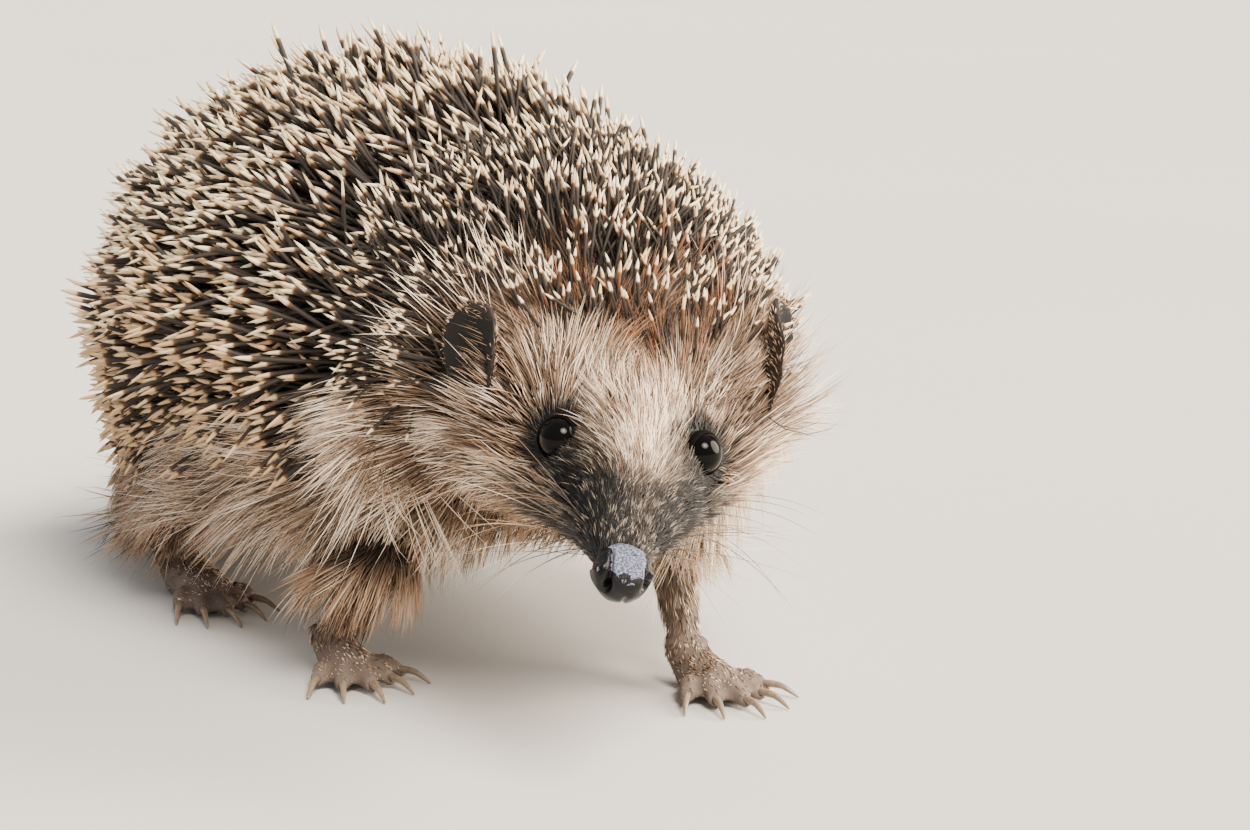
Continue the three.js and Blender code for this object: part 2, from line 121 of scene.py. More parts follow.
def drift(points, wave, seed):
    """Smooth random values over space, mostly from -1 to 1: a sum of sines about wave long, in
    random directions."""
    rng = np.random.default_rng(seed)
    waves = 8
    way = unit(rng.normal(size=(waves, 3))) * (2 * pi / wave) * rng.uniform(0.7, 1.4, (waves, 1))
    return np.sin(points @ way.T + rng.uniform(0, 2 * pi, waves)).sum(axis=1) / 3


def curve_through(points, count):
    """Catmull-Rom curve: cubics whose slope at each point is half the step between the points
    beside it."""
    p = np.vstack([2 * points[0] - points[1], points, 2 * points[-1] - points[-2]])
    t = np.linspace(0, len(points) - 1, count)
    i = np.minimum(t.astype(int), len(points) - 2)
    f = (t - i)[:, None]
    a, b, c, d = p[i], p[i + 1], p[i + 2], p[i + 3]
    return 0.5 * (
        2 * b + (c - a) * f + (2 * a - 5 * b + 4 * c - d) * f**2 + (3 * b - a - 3 * c + d) * f**3
    )


# ---- Landmarks, all read from the frame


def corners(*nodes):
    """Lowest and highest corner of the nodes together."""
    boxes = np.array([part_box(node) for node in nodes])
    return boxes[:, 0].min(axis=0), boxes[:, 1].max(axis=0)


def middle_of(*nodes):
    """Middle of the box round the nodes."""
    low, high = corners(*nodes)
    return (low + high) / 2


EYE = {side: middle_of(f"eye_{side}") for side in SIDES}
EYE_RADIUS = float(np.ptp(corners("eye_left"), axis=0)[2] / 2)
EYES_MIDDLE = (EYE["left"] + EYE["right"]) / 2
LEFT = unit(EYE["left"] - EYE["right"])
NOSE = middle_of("nose")
FORWARD = unit((NOSE - EYES_MIDDLE) - dot(NOSE - EYES_MIDDLE, LEFT) * LEFT)
OVER = np.cross(FORWARD, LEFT)
EAR = {side: middle_of(f"ear_{side}") for side in SIDES}
TRUNK_LOW, TRUNK_HIGH = corners("spiny_mantle", "underbody")
TAIL_LOW, TAIL_HIGH = corners("tail")
TAIL_END = (TAIL_LOW + TAIL_HIGH) / 2
TAIL_END[1] = TAIL_HIGH[1]


def leg_line(limb):
    """Points along the middle of a leg, from its foot to the hip: a curve through the means of
    three bands of its node."""
    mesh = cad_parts[f"leg_{limb}"].data
    points = np.array([vertex.co for vertex in mesh.vertices])
    low, high = points[:, 2].min(), points[:, 2].max()
    share = (points[:, 2] - low) / (high - low)
    bands = [(share >= start) & (share <= start + 0.3) for start in (0.0, 0.35, 0.7)]
    levels = [points[band].mean(axis=0) for band in bands]
    return curve_through(np.array(levels), 16)


LEG_LINES = np.vstack([leg_line(limb) for limb in LIMBS])


def along_head(forward, over, left):
    """A direction in the head: forward to the nose, over to its top, and to its left."""
    return forward * FORWARD + over * OVER + left * LEFT


def in_head(forward, over, left=0.0):
    """A point in the head, measured from the middle of the eyes."""
    return EYES_MIDDLE + along_head(forward, over, left)


def body_axis():
    """The line from the nose through head and trunk to the rump, with the way ahead, the way left
    and the distance from the nose at each of its points."""
    x = (TRUNK_LOW[0] + TRUNK_HIGH[0]) / 2
    high = TRUNK_HIGH[2]
    long = TRUNK_HIGH[1] - TRUNK_LOW[1]
    stations = [
        NOSE,
        in_head(0, -7 * MM),
        in_head(-24 * MM, -8.5 * MM),
        # shoulders, back, loins and rump
        (x - 1 * MM, TRUNK_LOW[1], 0.46 * high),
        (x, TRUNK_LOW[1] + 0.35 * long, 0.435 * high),
        (x, TRUNK_LOW[1] + 0.75 * long, 0.41 * high),
        (x, TRUNK_HIGH[1], 0.38 * high),
    ]
    line = curve_through(np.array(stations), 160)
    ahead = unit(-np.gradient(line, axis=0))
    reach = np.concatenate([[0], np.cumsum(np.linalg.norm(np.diff(line, axis=0), axis=1))])
    trunk_share = ramp_mm(reach, 60, 100)[:, None]
    left = blend(LEFT, np.array([1.0, 0.0, 0.0]), trunk_share)
    left = unit(left - dot(left, ahead)[:, None] * ahead)
    return line, ahead, left, reach


AXIS, AXIS_AHEAD, AXIS_LEFT, AXIS_REACH = body_axis()


class Place:
    """Where points are on the animal. ahead, over and across are the head's own directions from
    the middle of the eyes. reach is the distance behind the nose along the body's axis. girth is
    the angle round that axis in degrees, 0 on top and positive on the left, and side is its
    size."""

    def __init__(self, points):
        self.points = points
        offset = points - EYES_MIDDLE
        self.ahead, self.over, self.across = offset @ FORWARD, offset @ OVER, offset @ LEFT
        self.height = points[:, 2]
        nearest, _ = nearest_of(points, AXIS)
        spoke = points - AXIS[nearest]
        forward, left = AXIS_AHEAD[nearest], AXIS_LEFT[nearest]
        self.reach = np.maximum(AXIS_REACH[nearest] - dot(spoke, forward), 0.0)
        self.girth = np.degrees(np.arctan2(dot(spoke, left), dot(spoke, np.cross(forward, left))))
        self.side = np.abs(self.girth)
        self.from_eye, self.from_ear = (
            np.minimum(*[np.linalg.norm(points - centre[side], axis=1) for side in SIDES])
            for centre in (EYE, EAR)
        )
        self.from_nose = np.linalg.norm(points - NOSE, axis=1)
        self.from_tail = np.linalg.norm(points - TAIL_END, axis=1)


# ---- Where spines, hair and bare skin are

CROWN_LINE = -16.5 * MM  # how far ahead of the eyes the spines begin on top of the head
FLANK_LINE = (  # millimetres behind the nose, and degrees from the top down to the spines' edge
    (44, 80), (50, 92), (56, 96), (60, 94), (75, 90), (88, 90), (103, 92), (121, 95),
    (142, 99), (160, 104), (176, 109), (189, 116), (215, 129), (245, 137),
)
COAT_DEPTHS = (  # millimetres behind the nose, and from the coat's tips down to the skin
    (0, 0.2), (5, 0.3), (12, 0.6), (22, 1.0), (32, 1.5), (42, 2.4), (52, 4), (62, 7),
    (76, 11.5), (95, 16), (245, 16.5),
)
LEG_TOPS = np.array([27, 18, 15, 15]) * MM  # how high each leg shows, in the order of LIMBS
LEG_REACH = 7 * MM  # a leg's skin is within this distance of its middle line


def spined(place, inset=0.0):
    """1 where spines grow: behind the crown and the ears, and above the line where they give way
    to hair. inset moves that border inwards."""
    flank = table(place.reach, *FLANK_LINE) / MM
    flank = flank - 22 * ramp(place.girth, 20, 50) * ramp_mm(place.reach, 95, 65)
    edge = flank - 1.2 * inset / MM + 4 * drift(place.points, 18 * MM, 3)
    above = ramp(edge - place.side, -3.0, 4.0)
    crown = CROWN_LINE - inset - 2.5 * MM * ramp(np.abs(place.across), 7 * MM, 19 * MM)
    crown = crown + 1.5 * MM * drift(place.points, 9 * MM, 4)
    behind = ramp_mm(crown - place.ahead, -2, 2)
    behind = np.maximum(behind, ramp_mm(place.reach, 75, 80))
    clear = ramp(place.from_ear, 7.5 * MM + inset, 9 * MM + inset)
    clear = clear * ramp_mm(place.from_tail, 9, 12)
    return above * behind * clear


def near_leg(place):
    """1 close to the line down a leg's middle and on the feet, 0 further than the shoulder or
    haunch."""
    _, away = nearest_of(place.points, LEG_LINES)
    on_foot = ramp_mm(place.height, 11, 8)
    return np.maximum(ramp(away, LEG_REACH + 6 * MM, LEG_REACH), on_foot)


def by_leg(place):
    """1 over the shoulders and haunches, where the coat is shorter."""
    _, away = nearest_of(place.points, LEG_LINES)
    return ramp_mm(away, 24, 12) * ramp_mm(place.height, 42, 26)


def on_leg(place):
    """1 on bare legs and feet, and on the tail."""
    centres = np.array([middle_of(f"leg_{limb}", f"foot_{limb}")[:2] for limb in LIMBS])
    nearest = np.argmin(square_distances(place.points[:, :2], centres), axis=1)
    top = LEG_TOPS[nearest]
    return np.maximum(near_leg(place) * ramp(place.height, top, top - 5 * MM), on_tail(place))


def on_tail(place):
    """1 on the tail, 0 a little way off it."""
    return ramp_mm(place.from_tail, 11, 8)


def coat_depth(place):
    """How far the skin lies under the coat's tips."""
    depth = table(place.reach, *COAT_DEPTHS)
    depth = depth * blend(1.0, 0.66, ramp(place.side, 100.0, 135.0))
    depth = depth * blend(0.35, 1.0, ramp_mm(place.from_ear, 9, 20))
    return blend(depth, 0.3 * MM, np.maximum(near_leg(place), on_tail(place)))


# ---- Meshes


def new_object(name, points, faces, materials=(), smooth=True):
    """A mesh object from an array of points and a list of face arrays, each with its own count of
    corners."""
    mesh = bpy.data.meshes.new(name)
    corner = np.concatenate([face.ravel() for face in faces])
    sizes = np.concatenate([np.full(len(face), face.shape[1]) for face in faces])
    mesh.vertices.add(len(points))
    mesh.vertices.foreach_set("co", np.asarray(points, dtype=np.float32).ravel())
    mesh.loops.add(len(corner))
    mesh.loops.foreach_set("vertex_index", corner.astype(np.int32))
    mesh.polygons.add(len(sizes))
    starts = np.concatenate([[0], np.cumsum(sizes)[:-1]])
    mesh.polygons.foreach_set("loop_start", starts.astype(np.int32))
    mesh.polygons.foreach_set("use_smooth", np.full(len(sizes), smooth))
    mesh.update(calc_edges=True)
    for material in materials:
        mesh.materials.append(material)
    obj = bpy.data.objects.new(name, mesh)
    bpy.context.scene.collection.objects.link(obj)
    return obj


def add_values(mesh, name, values):
    """A number for each vertex, which the material reads by name."""
    layer = mesh.attributes.new(name, "FLOAT", "POINT")
    layer.data.foreach_set("value", np.asarray(values, dtype=np.float32))


def add_bake_map(mesh, uv):
    """The UV map for baking, named OFBake, from one pair of coordinates for each vertex."""
    corner = np.empty(len(mesh.loops), dtype=np.int32)
    mesh.loops.foreach_get("vertex_index", corner)
    layer = mesh.uv_layers.new(name="OFBake")
    layer.data.foreach_set("uv", np.asarray(uv, dtype=np.float32)[corner].ravel())


def mesh_arrays(mesh):
    """Points and triangles of a mesh."""
    points = np.empty(len(mesh.vertices) * 3)
    mesh.vertices.foreach_get("co", points)
    mesh.calc_loop_triangles()
    triangles = np.empty(len(mesh.loop_triangles) * 3, dtype=np.int32)
    mesh.loop_triangles.foreach_get("vertices", triangles)
    return points.reshape(-1, 3), triangles.reshape(-1, 3)


def normals_of(points, triangles):
    """Each vertex's normal: the sum of its triangles' cross products, made unit."""
    a, b, c = (points[triangles[:, k]] for k in range(3))
    face = np.cross(b - a, c - a)
    total = np.zeros_like(points)
    for k in range(3):
        for axis in range(3):
            total[:, axis] += np.bincount(triangles[:, k], face[:, axis], len(points))
    return unit(total)


def relaxed(points, triangles, rounds, share=0.5):
    """Each vertex moved by a share of the way to the mean of its neighbours, so many times. The
    share may be one number for each vertex."""
    start, end = triangles.ravel(), np.roll(triangles, -1, axis=1).ravel()
    count = np.maximum(np.bincount(start, minlength=len(points)), 1)[:, None]
    strength = np.broadcast_to(share, len(points))[:, None]
    for _ in range(rounds):
        sums = [np.bincount(start, points[end, axis], len(points)) for axis in range(3)]
        total = np.stack(sums, axis=1)
        points = points + (total / count - points) * strength
    return points


def node_arrays(nodes, swell):
    """Points and triangles of the frame's nodes, their doubles merged, moved outwards by swell so
    that cuts close."""
    surfaces = []
    for node in nodes:
        points, triangles = mesh_arrays(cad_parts[node].data)
        _, keep, where = np.unique(
            np.round(points, 7), axis=0, return_index=True, return_inverse=True
        )
        points, triangles = points[keep], where.ravel()[triangles]
        surfaces.append((points + normals_of(points, triangles) * swell, triangles))
    return joined(*surfaces)


def joined(*surfaces):
    """Several (points, triangles) as one."""
    starts = np.cumsum([0] + [len(points) for points, _ in surfaces[:-1]])
    return (
        np.vstack([points for points, _ in surfaces]),
        np.vstack([triangles + start for (_, triangles), start in zip(surfaces, starts)]),
    )


def modified(surface, kind, group=None, **settings):
    """Points and triangles after one modifier. Vertices where group is true make a vertex
    group."""
    points, triangles = surface
    rough = new_object("rough", points, [triangles])
    modifier = rough.modifiers.new("change", kind)
    for key, value in settings.items():
        setattr(modifier, key, value)
    if group is not None:
        rough.vertex_groups.new(name="part").add(np.nonzero(group)[0].tolist(), 1.0, "REPLACE")
        modifier.vertex_group = "part"
    shaped = rough.evaluated_get(bpy.context.evaluated_depsgraph_get())
    mesh = bpy.data.meshes.new_from_object(shaped)
    result = mesh_arrays(mesh)
    bpy.data.meshes.remove(mesh)
    bpy.data.objects.remove(rough)
    return result


def one_skin(surface, cell):
    """The outer surface of closed shapes that overlap, as one closed mesh of cells about cell
    wide."""
    return modified(surface, "REMESH", mode="VOXEL", voxel_size=cell)


def finish_piece(obj, slot, *nodes):
    """The piece rides on the body and stands for the nodes, which it hides. slot is not used."""
    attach(obj, BODY)
    if nodes:
        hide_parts(*nodes)
    return obj


# ---- Materials


def paint(red, green, blue):
    """A colour from 0 to 255 in each channel, as the linear values that a shader takes."""
    channel = np.array([red, green, blue]) / 255
    linear = np.where(channel <= 0.04045, channel / 12.92, ((channel + 0.055) / 1.055) ** 2.4)
    return tuple(float(value) for value in linear)


class Signal:
    """A shader socket that can stand in a Python expression. Each operation adds a Math node."""

    def __init__(self, finish, socket):
        self.finish = finish
        self.socket = socket

    def math(self, operation, *values):
        """The operation on the values, as a Math node."""
        return self.finish.node("ShaderNodeMath", {"operation": operation}, *values)

    def __add__(self, other):
        return self.math("ADD", self, other)

    __radd__ = __add__

    def __mul__(self, other):
        return self.math("MULTIPLY", self, other)

    __rmul__ = __mul__

    def __sub__(self, other):
        return self.math("SUBTRACT", self, other)

    def __rsub__(self, other):
        return self.math("SUBTRACT", other, self)

    def between(self, start, end):
        """0 at start, 1 at end, with a smooth S between."""
        settings = {"interpolation_type": "SMOOTHSTEP"}
        return self.finish.node("ShaderNodeMapRange", settings, self, start, end, 0.0, 1.0)


class Finish:
    """A material under construction."""

    def __init__(self, name):
        self.material = bpy.data.materials.new(name)
        self.material.use_nodes = True
        self.tree = self.material.node_tree
        self.tree.nodes.clear()
        self.coordinates = self.node("ShaderNodeTexCoord", out="Object")

    def node(self, kind, settings=None, *values, out=0, **named):
        """A node with its settings made first, then its sockets filled in order or by name (with _
        for a space)."""
        node = self.tree.nodes.new(kind)
        for key, value in (settings or {}).items():
            setattr(node, key, value)
        filled = list(zip(node.inputs, values))
        filled += [(node.inputs[key.replace("_", " ")], value) for key, value in named.items()]
        for socket, value in filled:
            self.fill(socket, value)
        return Signal(self, node.outputs[out]) if node.outputs else node

    def fill(self, socket, value):
        """Links a signal to the socket, or sets the socket's own value."""
        if isinstance(value, Signal):
            self.tree.links.new(value.socket, socket)
        elif value is not None:
            colour = socket.type == "RGBA" and len(value) == 3
            socket.default_value = (*value, 1.0) if colour else value

    def value(self, name):
        """The number that the mesh carries under this name."""
        return self.node("ShaderNodeAttribute", {"attribute_name": name}, out="Fac")

    def noise(self, size, detail=2.0, roughness=0.5):
        """Cloudy noise from 0 to 1 whose blotches are about size across."""
        return self.node(
            "ShaderNodeTexNoise",
            Vector=self.coordinates,
            Scale=1 / size,
            Detail=detail,
            Roughness=roughness,
        )

    def cells(self, size):
        """Distance from the edge of random cells about size across."""
        settings = {"feature": "DISTANCE_TO_EDGE"}
        scale = 1 / size
        return self.node("ShaderNodeTexVoronoi", settings, Vector=self.coordinates, Scale=scale)

    def mix(self, a, b, share):
        """Colour a where share is 0 and b where it is 1."""
        node = self.tree.nodes.new("ShaderNodeMix")
        node.data_type = "RGBA"
        for index, value in ((0, share), (6, a), (7, b)):
            self.fill(node.inputs[index], value)
        return Signal(self, node.outputs[2])

    def bump(self, height, distance, strength=1.0):
        """The normal tilted as the height rises and falls, by distance from 0 to 1."""
        sockets = {"Strength": strength, "Distance": distance, "Height": height}
        return self.node("ShaderNodeBump", out="Normal", **sockets)

    def surface(self, **sockets):
        """The shader, with its sockets filled by name, and the finished material."""
        shader = self.node("ShaderNodeBsdfPrincipled", **sockets)
        self.node("ShaderNodeOutputMaterial", Surface=shader)
        return self.material


# ---- Settings


def size(name, description, default):
    """A length in metres."""
    shown = {"name": name, "description": description, "unit": "LENGTH", "precision": 5}
    return FloatProperty(default=default, min=0.0, max=1.0, **shown)


def turn(name, description, degrees):
    """An angle."""
    shown = {"name": name, "description": description, "subtype": "ANGLE"}
    return FloatProperty(default=radians(degrees), **shown)


def number(name, description, default, low=0.0, high=1000.0):
    """A plain number."""
    return FloatProperty(name=name, description=description, default=default, min=low, max=high)


def tint(name, description, red, green, blue):
    """A colour."""
    shown = {"name": name, "description": description, "subtype": "COLOR"}
    return FloatVectorProperty(default=paint(red, green, blue), min=0.0, max=1.0, size=3, **shown)


class SkinSettings(bpy.types.PropertyGroup):
    cell: size("Cell", "Width of the skin's cells", 0.55 * MM)
    lid: size("Lid", "Thickness of the eyelids over the eyeball", 0.25 * MM)
    opening: turn("Opening", "Angle from the eye's axis to the lids' edge", 84)
    hide: tint("Hide", "Skin under the coat", 46, 36, 30)
    bare: tint("Bare skin", "Feet", 108, 94, 84)
    ear: tint("Ear", "Skin of the ears", 46, 38, 34)
    rim: tint("Rim", "Bare rim of the eyes and the lips", 9, 8, 8)


class SpineSettings(bpy.types.PropertyGroup):
    length: size("Length", "Spine on the back", 20.5 * MM)
    radius: size("Radius", "Spine's radius at its thickest", 0.49 * MM)
    spacing: size("Spacing", "Least distance between roots", 1.1 * MM)
    lift: turn("Lift", "Angle between spine and skin", 33)
    tip: tint("Tip", "Outer end", 255, 243, 210)
    tan: tint("Tan", "Outer end of the darker spines", 202, 168, 128)
    edge: tint("Edge", "Warm ring between tip and band", 88, 62, 42)
    # The dark band reaching far down and the brown shaft stand where a real spine's base is pale:
    # partly the real band, partly painted shade between the spines.
    band: tint("Band", "Dark band under the tip", 52, 46, 42)
    shaft: tint("Shaft", "Lower part", 112, 94, 78)


class HairSettings(bpy.types.PropertyGroup):
    radius: size("Radius", "A hair's radius at its thickest", 0.105 * MM)
    cream: tint("Cream", "Outer end of the palest hairs", 255, 234, 210)
    tan: tint("Tan", "Outer end of most hairs", 186, 150, 119)
    middle: tint("Middle", "Middle of most hairs", 120, 94, 72)
    root: tint("Root", "Root of most hairs", 42, 33, 27)
    dark: tint("Dark", "The dark hairs and the patch round the eyes", 34, 28, 25)
    rust: tint("Rust", "Warm brown at the crown", 150, 88, 42)
    share: number("Share", "Share of the full number of hairs", 1.0, 0.01, 1.0)


class StageSettings(bpy.types.PropertyGroup):
    distance: size("Distance", "Camera to the eyes", 480 * MM)
    azimuth: turn("Azimuth", "Camera's turn round the animal", -35)
    elevation: turn("Elevation", "Camera's height over the level", 12)
    lens: number("Lens", "Focal length in millimetres", 87.1, 1.0)
    floor: tint("Floor", "Plain pale floor", 198, 196, 192)
    key: number("Key", "Strength of the main light", 6.2)
    fill: number("Fill", "Strength of the light from all around", 0.84)


# ---- Markings and painted light and shade, shared by skin and coat


def markings_and_painted_light(place):
    """How dark the mask is, how many hairs are pale, and how rusty they are, each from 0 to 1.
    Part of the darkness and paleness is painted shade and painted light: by the right ear, on the
    sides behind the cheeks and towards the rear. Distances are in millimetres and turns round the
    body in degrees."""
    ahead, across = place.ahead / MM, np.abs(place.across / MM)
    on_face = ramp_mm(place.reach, 62, 50)
    behind_cheek = ramp_mm(place.reach, 34, 48)
    round_eye = ramp_mm(place.from_eye, 6.4, 4.6)
    from_stripe = np.abs(across - np.interp(ahead, [0, 20], [9.5, 5]))
    stripe = ramp(from_stripe, 7, 2.5) * ramp(ahead, -3, 2)
    muzzle_top = ramp(ahead, 8, 16) * ramp(place.side, 125, 65)
    mask = np.maximum(np.maximum(round_eye, stripe), 0.95 * muzzle_top) * on_face
    wedge_width = np.interp(ahead, [-26, -12, 0, 8, 16], [17, 12, 8, 5, 3.5])
    wedge = ramp(across, wedge_width + 4, wedge_width - 4)
    wedge = wedge * ramp(ahead, 17, 8) * ramp(ahead, -13, -3)
    crown_width = np.interp(ahead, [-20, -2], [16, 3])
    crown = ramp(ahead, 1, -8) * ramp(ahead, -38, -29)
    crown = crown * ramp(across, crown_width + 5, crown_width - 4)
    crown = crown * ramp(place.side, 70, 50)
    rays = [place.across / place.from_nose * 35 * MM, 0.15 * place.from_nose, np.zeros(len(ahead))]
    rays = np.stack(rays, axis=1)
    streaks = ramp(drift(rays, 2.2 * MM, 51), -0.3, 0.6)
    dull = ramp(drift(rays, 2.6 * MM, 52), -0.2, 0.8) * ramp(ahead, 10, -4) * on_face
    mask = np.maximum(mask, crown * (1 - 0.65 * streaks) * ramp(ahead, -1, -8))
    # Darker skin and fewer pale hairs by the right ear only, the side away from the rim light:
    # partly dark hair there, partly painted shade.
    by_ear = ramp_mm(place.from_ear, 15, 9) * ramp(place.girth, 30, -10)
    mask = np.maximum(mask, 0.6 * by_ear)
    # Paler hair on the sides behind the cheeks: partly pale hair, partly painted backlight.
    ruff = ramp(place.side, 68, 95) * ramp(place.side, 140, 115) * behind_cheek
    ruff = ruff * blend(1.0, 0.6, ramp_mm(place.reach, 95, 130))
    below = ramp(place.side, 125, 150)
    temple = ramp(ahead, -12, -22) * ramp(place.side, 90, 70)
    pale = 0.4 + 0.4 * wedge + 0.22 * ruff - 0.38 * below - 0.5 * crown - 0.25 * muzzle_top
    pale = pale - 0.15 * by_leg(place) - 0.3 * by_ear - 0.3 * dull - 0.25 * temple
    # Paler still behind the left cheek only, on the side the rim light comes from: painted
    # backlight.
    pale = pale + 0.35 * ramp(place.girth, 60, 85) * behind_cheek
    pale = pale - 0.18 * ramp_mm(place.reach, 70, 100)
    # Fewer pale hairs towards the rump: painted shade on the rear of the body.
    pale = pale - 0.12 * ramp_mm(place.reach, 140, 190)
    mask = mask * (1 - 0.4 * wedge)
    return {"mask": np.clip(mask, 0, 1), "pale": np.clip(pale, 0, 1), "rust": crown * streaks}


# ---- Skin

CUT = 0.35 * MM  # more than half the widest cut between the frame's nodes
SKIN_TRIANGLES = 185000
COARSE_CELL = 1.2 * MM  # width of the cells while the coat's depth is taken off
SHRINK_STEPS = 5
HEAD_NODES = ("head", "lower_jaw", "nose", "eye_left", "eye_right")
LEGS = tuple(f"leg_{limb}" for limb in LIMBS)
FLESH = (*HEAD_NODES, "neck", "spiny_mantle", "underbody", "tail", *LEGS)
FEET = tuple(f"foot_{limb}" for limb in LIMBS)
EARS = ("ear_left", "ear_right")
EYE_AXIS = (0.7, 0.5, 0.51)  # the way an eye looks: forward, over and out
EYE_NEAR = 5 * MM  # how far from the eyeball the lids are shaped
EYE_FACING = radians(115)  # and how far round from its axis
EYE_PRESSED = 1.2 * MM  # how deep inside the eyeball the skin of the opening lies
EAR_HIGH = 14.5 * MM
EAR_SUNK = 5 * MM
EAR_HALF_WIDTH = 5.9 * MM
EAR_THICK = 1.4 * MM
EAR_CUP = 3.4 * MM
EAR_FOOT = {  # ahead of the eyes' middle and over it
    "left": (-20 * MM, 0.4 * MM),
    "right": (-16 * MM, -3.6 * MM),
}
EAR_OUT = 23.8 * MM
EAR_TURNS = {  # degrees: faces outwards, leans outwards, leans back
    "left": (74, 14, 12),
    "right": (48, 14, 12),
}
MOUTH_HALF_WIDTH = 0.55  # millimetres
MOUTH_DEEP = 0.7 * MM


def grid_faces(rows, columns):
    """Quads between rows of points that close on themselves."""
    s = np.arange(columns)
    r = np.arange(rows - 1)[:, None] * columns
    around = (s + 1) % columns
    after = r + columns
    return np.stack([r + s, r + around, after + around, after + s], axis=-1).reshape(-1, 4)


def fan(ring, middle):
    """Triangles from each step of a ring of points to a middle one."""
    return np.stack([ring, np.roll(ring, -1), np.full(len(ring), middle)], axis=-1)


def ear_shell(side):
    """A cupped leaf. Across runs as the cosine of the angle round its rim, and its thickness as
    that sine to the power 0.5, which keeps the rim blunt. Its half-width is a quarter sine from
    the foot to the widest level and a quarter ellipse above. It is hollowed by the square of
    across."""
    turns, levels, widest = 32, 18, 0.6
    rise = np.sin(np.linspace(0, 0.97, levels) * pi / 2)[:, None]
    past = np.clip((rise - widest) / (1 - widest), 0, 1)
    width = (0.55 + 0.45 * np.sin(np.clip(rise / widest, 0, 1) * pi / 2)) * np.sqrt(1 - past**2)
    angle = (np.arange(turns) * 2 * pi / turns)[None]
    across = np.cos(angle) * width
    flat = np.sign(np.sin(angle)) * np.abs(np.sin(angle)) ** 0.5
    x = across * EAR_HALF_WIDTH
    y = flat * EAR_THICK / 2 - EAR_CUP * (across**2 + 0.3 * rise**2)
    z = rise * (EAR_HIGH + EAR_SUNK) - EAR_SUNK + 0 * angle
    local = np.stack([x, y, z], axis=-1).reshape(-1, 3)
    sign = SIDES[side]
    out, lean, back = (radians(degrees) for degrees in EAR_TURNS[side])
    turned_by = Matrix.Rotation(sign * out, 3, "Z") @ Matrix.Rotation(sign * lean, 3, "Y")
    local = local @ np.array(turned_by @ Matrix.Rotation(-back, 3, "X")).T
    foot = in_head(*EAR_FOOT[side], sign * EAR_OUT)
    points = foot + local[:, :1] * LEFT - local[:, 1:2] * FORWARD + local[:, 2:] * OVER
    wall = grid_faces(levels, turns)
    foot_ring, top_ring = np.arange(turns), np.arange(turns) + (levels - 1) * turns
    ends = points.reshape(levels, turns, 3)[[0, -1]].mean(axis=1)
    triangles = [wall[:, [0, 1, 2]], wall[:, [0, 2, 3]]]
    triangles += [fan(foot_ring[::-1], len(points)), fan(top_ring, len(points) + 1)]
    hollow = np.append((ramp(-flat, 0.2, 0.6) * ramp(rise, 0.97, 0.85)).ravel(), [0, 0])
    return np.vstack([points, ends]), np.vstack(triangles), hollow


def sculpt_face(points, triangles, settings):
    """Round each eye the skin is pushed out to lid above the eyeball, and inside the opening it is
    pressed in. A groove along each side of the muzzle draws the mouth."""
    for side, sign in SIDES.items():
        spoke = points - EYE[side]
        reach = np.linalg.norm(spoke, axis=1)
        axis = unit(along_head(EYE_AXIS[0], EYE_AXIS[1], sign * EYE_AXIS[2]))
        off_axis = np.arccos(np.clip(dot(unit(spoke), axis), -1, 1))
        opening = ramp(off_axis, settings.opening + 0.1, settings.opening - 0.05)
        close = ramp(reach, EYE_RADIUS + EYE_NEAR, EYE_RADIUS + settings.lid)
        lifted = np.maximum(reach, blend(reach, EYE_RADIUS + settings.lid, close))
        target = blend(lifted, EYE_RADIUS - EYE_PRESSED, opening)
        near = (reach < EYE_RADIUS + EYE_NEAR) & (off_axis < EYE_FACING)
        points = np.where(near[:, None], EYE[side] + unit(spoke) * target[:, None], points)
    place = Place(points)
    ahead, over = place.ahead / MM, place.over / MM
    line = np.interp(ahead, [0, 24], [-10.2, -5.4])
    groove = np.exp(-(((over - line) / MOUTH_HALF_WIDTH) ** 2))
    groove = groove * ramp(ahead, 0, 4) * ramp(ahead, 27, 23)
    points = points - normals_of(points, triangles) * (groove * MOUTH_DEEP)[:, None]
    return relaxed(points, triangles, 3, ramp_mm(place.from_eye, 8, 6) * 0.4)


def shrunk_body():
    """The frame's flesh as one surface, drawn in by the coat's depth."""
    points, triangles = one_skin(node_arrays((*FLESH, *FEET), CUT), COARSE_CELL)
    points = relaxed(points, triangles, 4, 0.3)
    place = Place(points)
    firm = np.maximum(near_leg(place), on_tail(place))
    points = relaxed(points, triangles, 14, 0.5 * (1 - 0.9 * firm))
    depth = coat_depth(place) + CUT
    for _ in range(SHRINK_STEPS):
        points = points - normals_of(points, triangles) * (depth / SHRINK_STEPS)[:, None]
        points = relaxed(points, triangles, 3, 0.5 * (1 - 0.85 * firm))
    return points, triangles


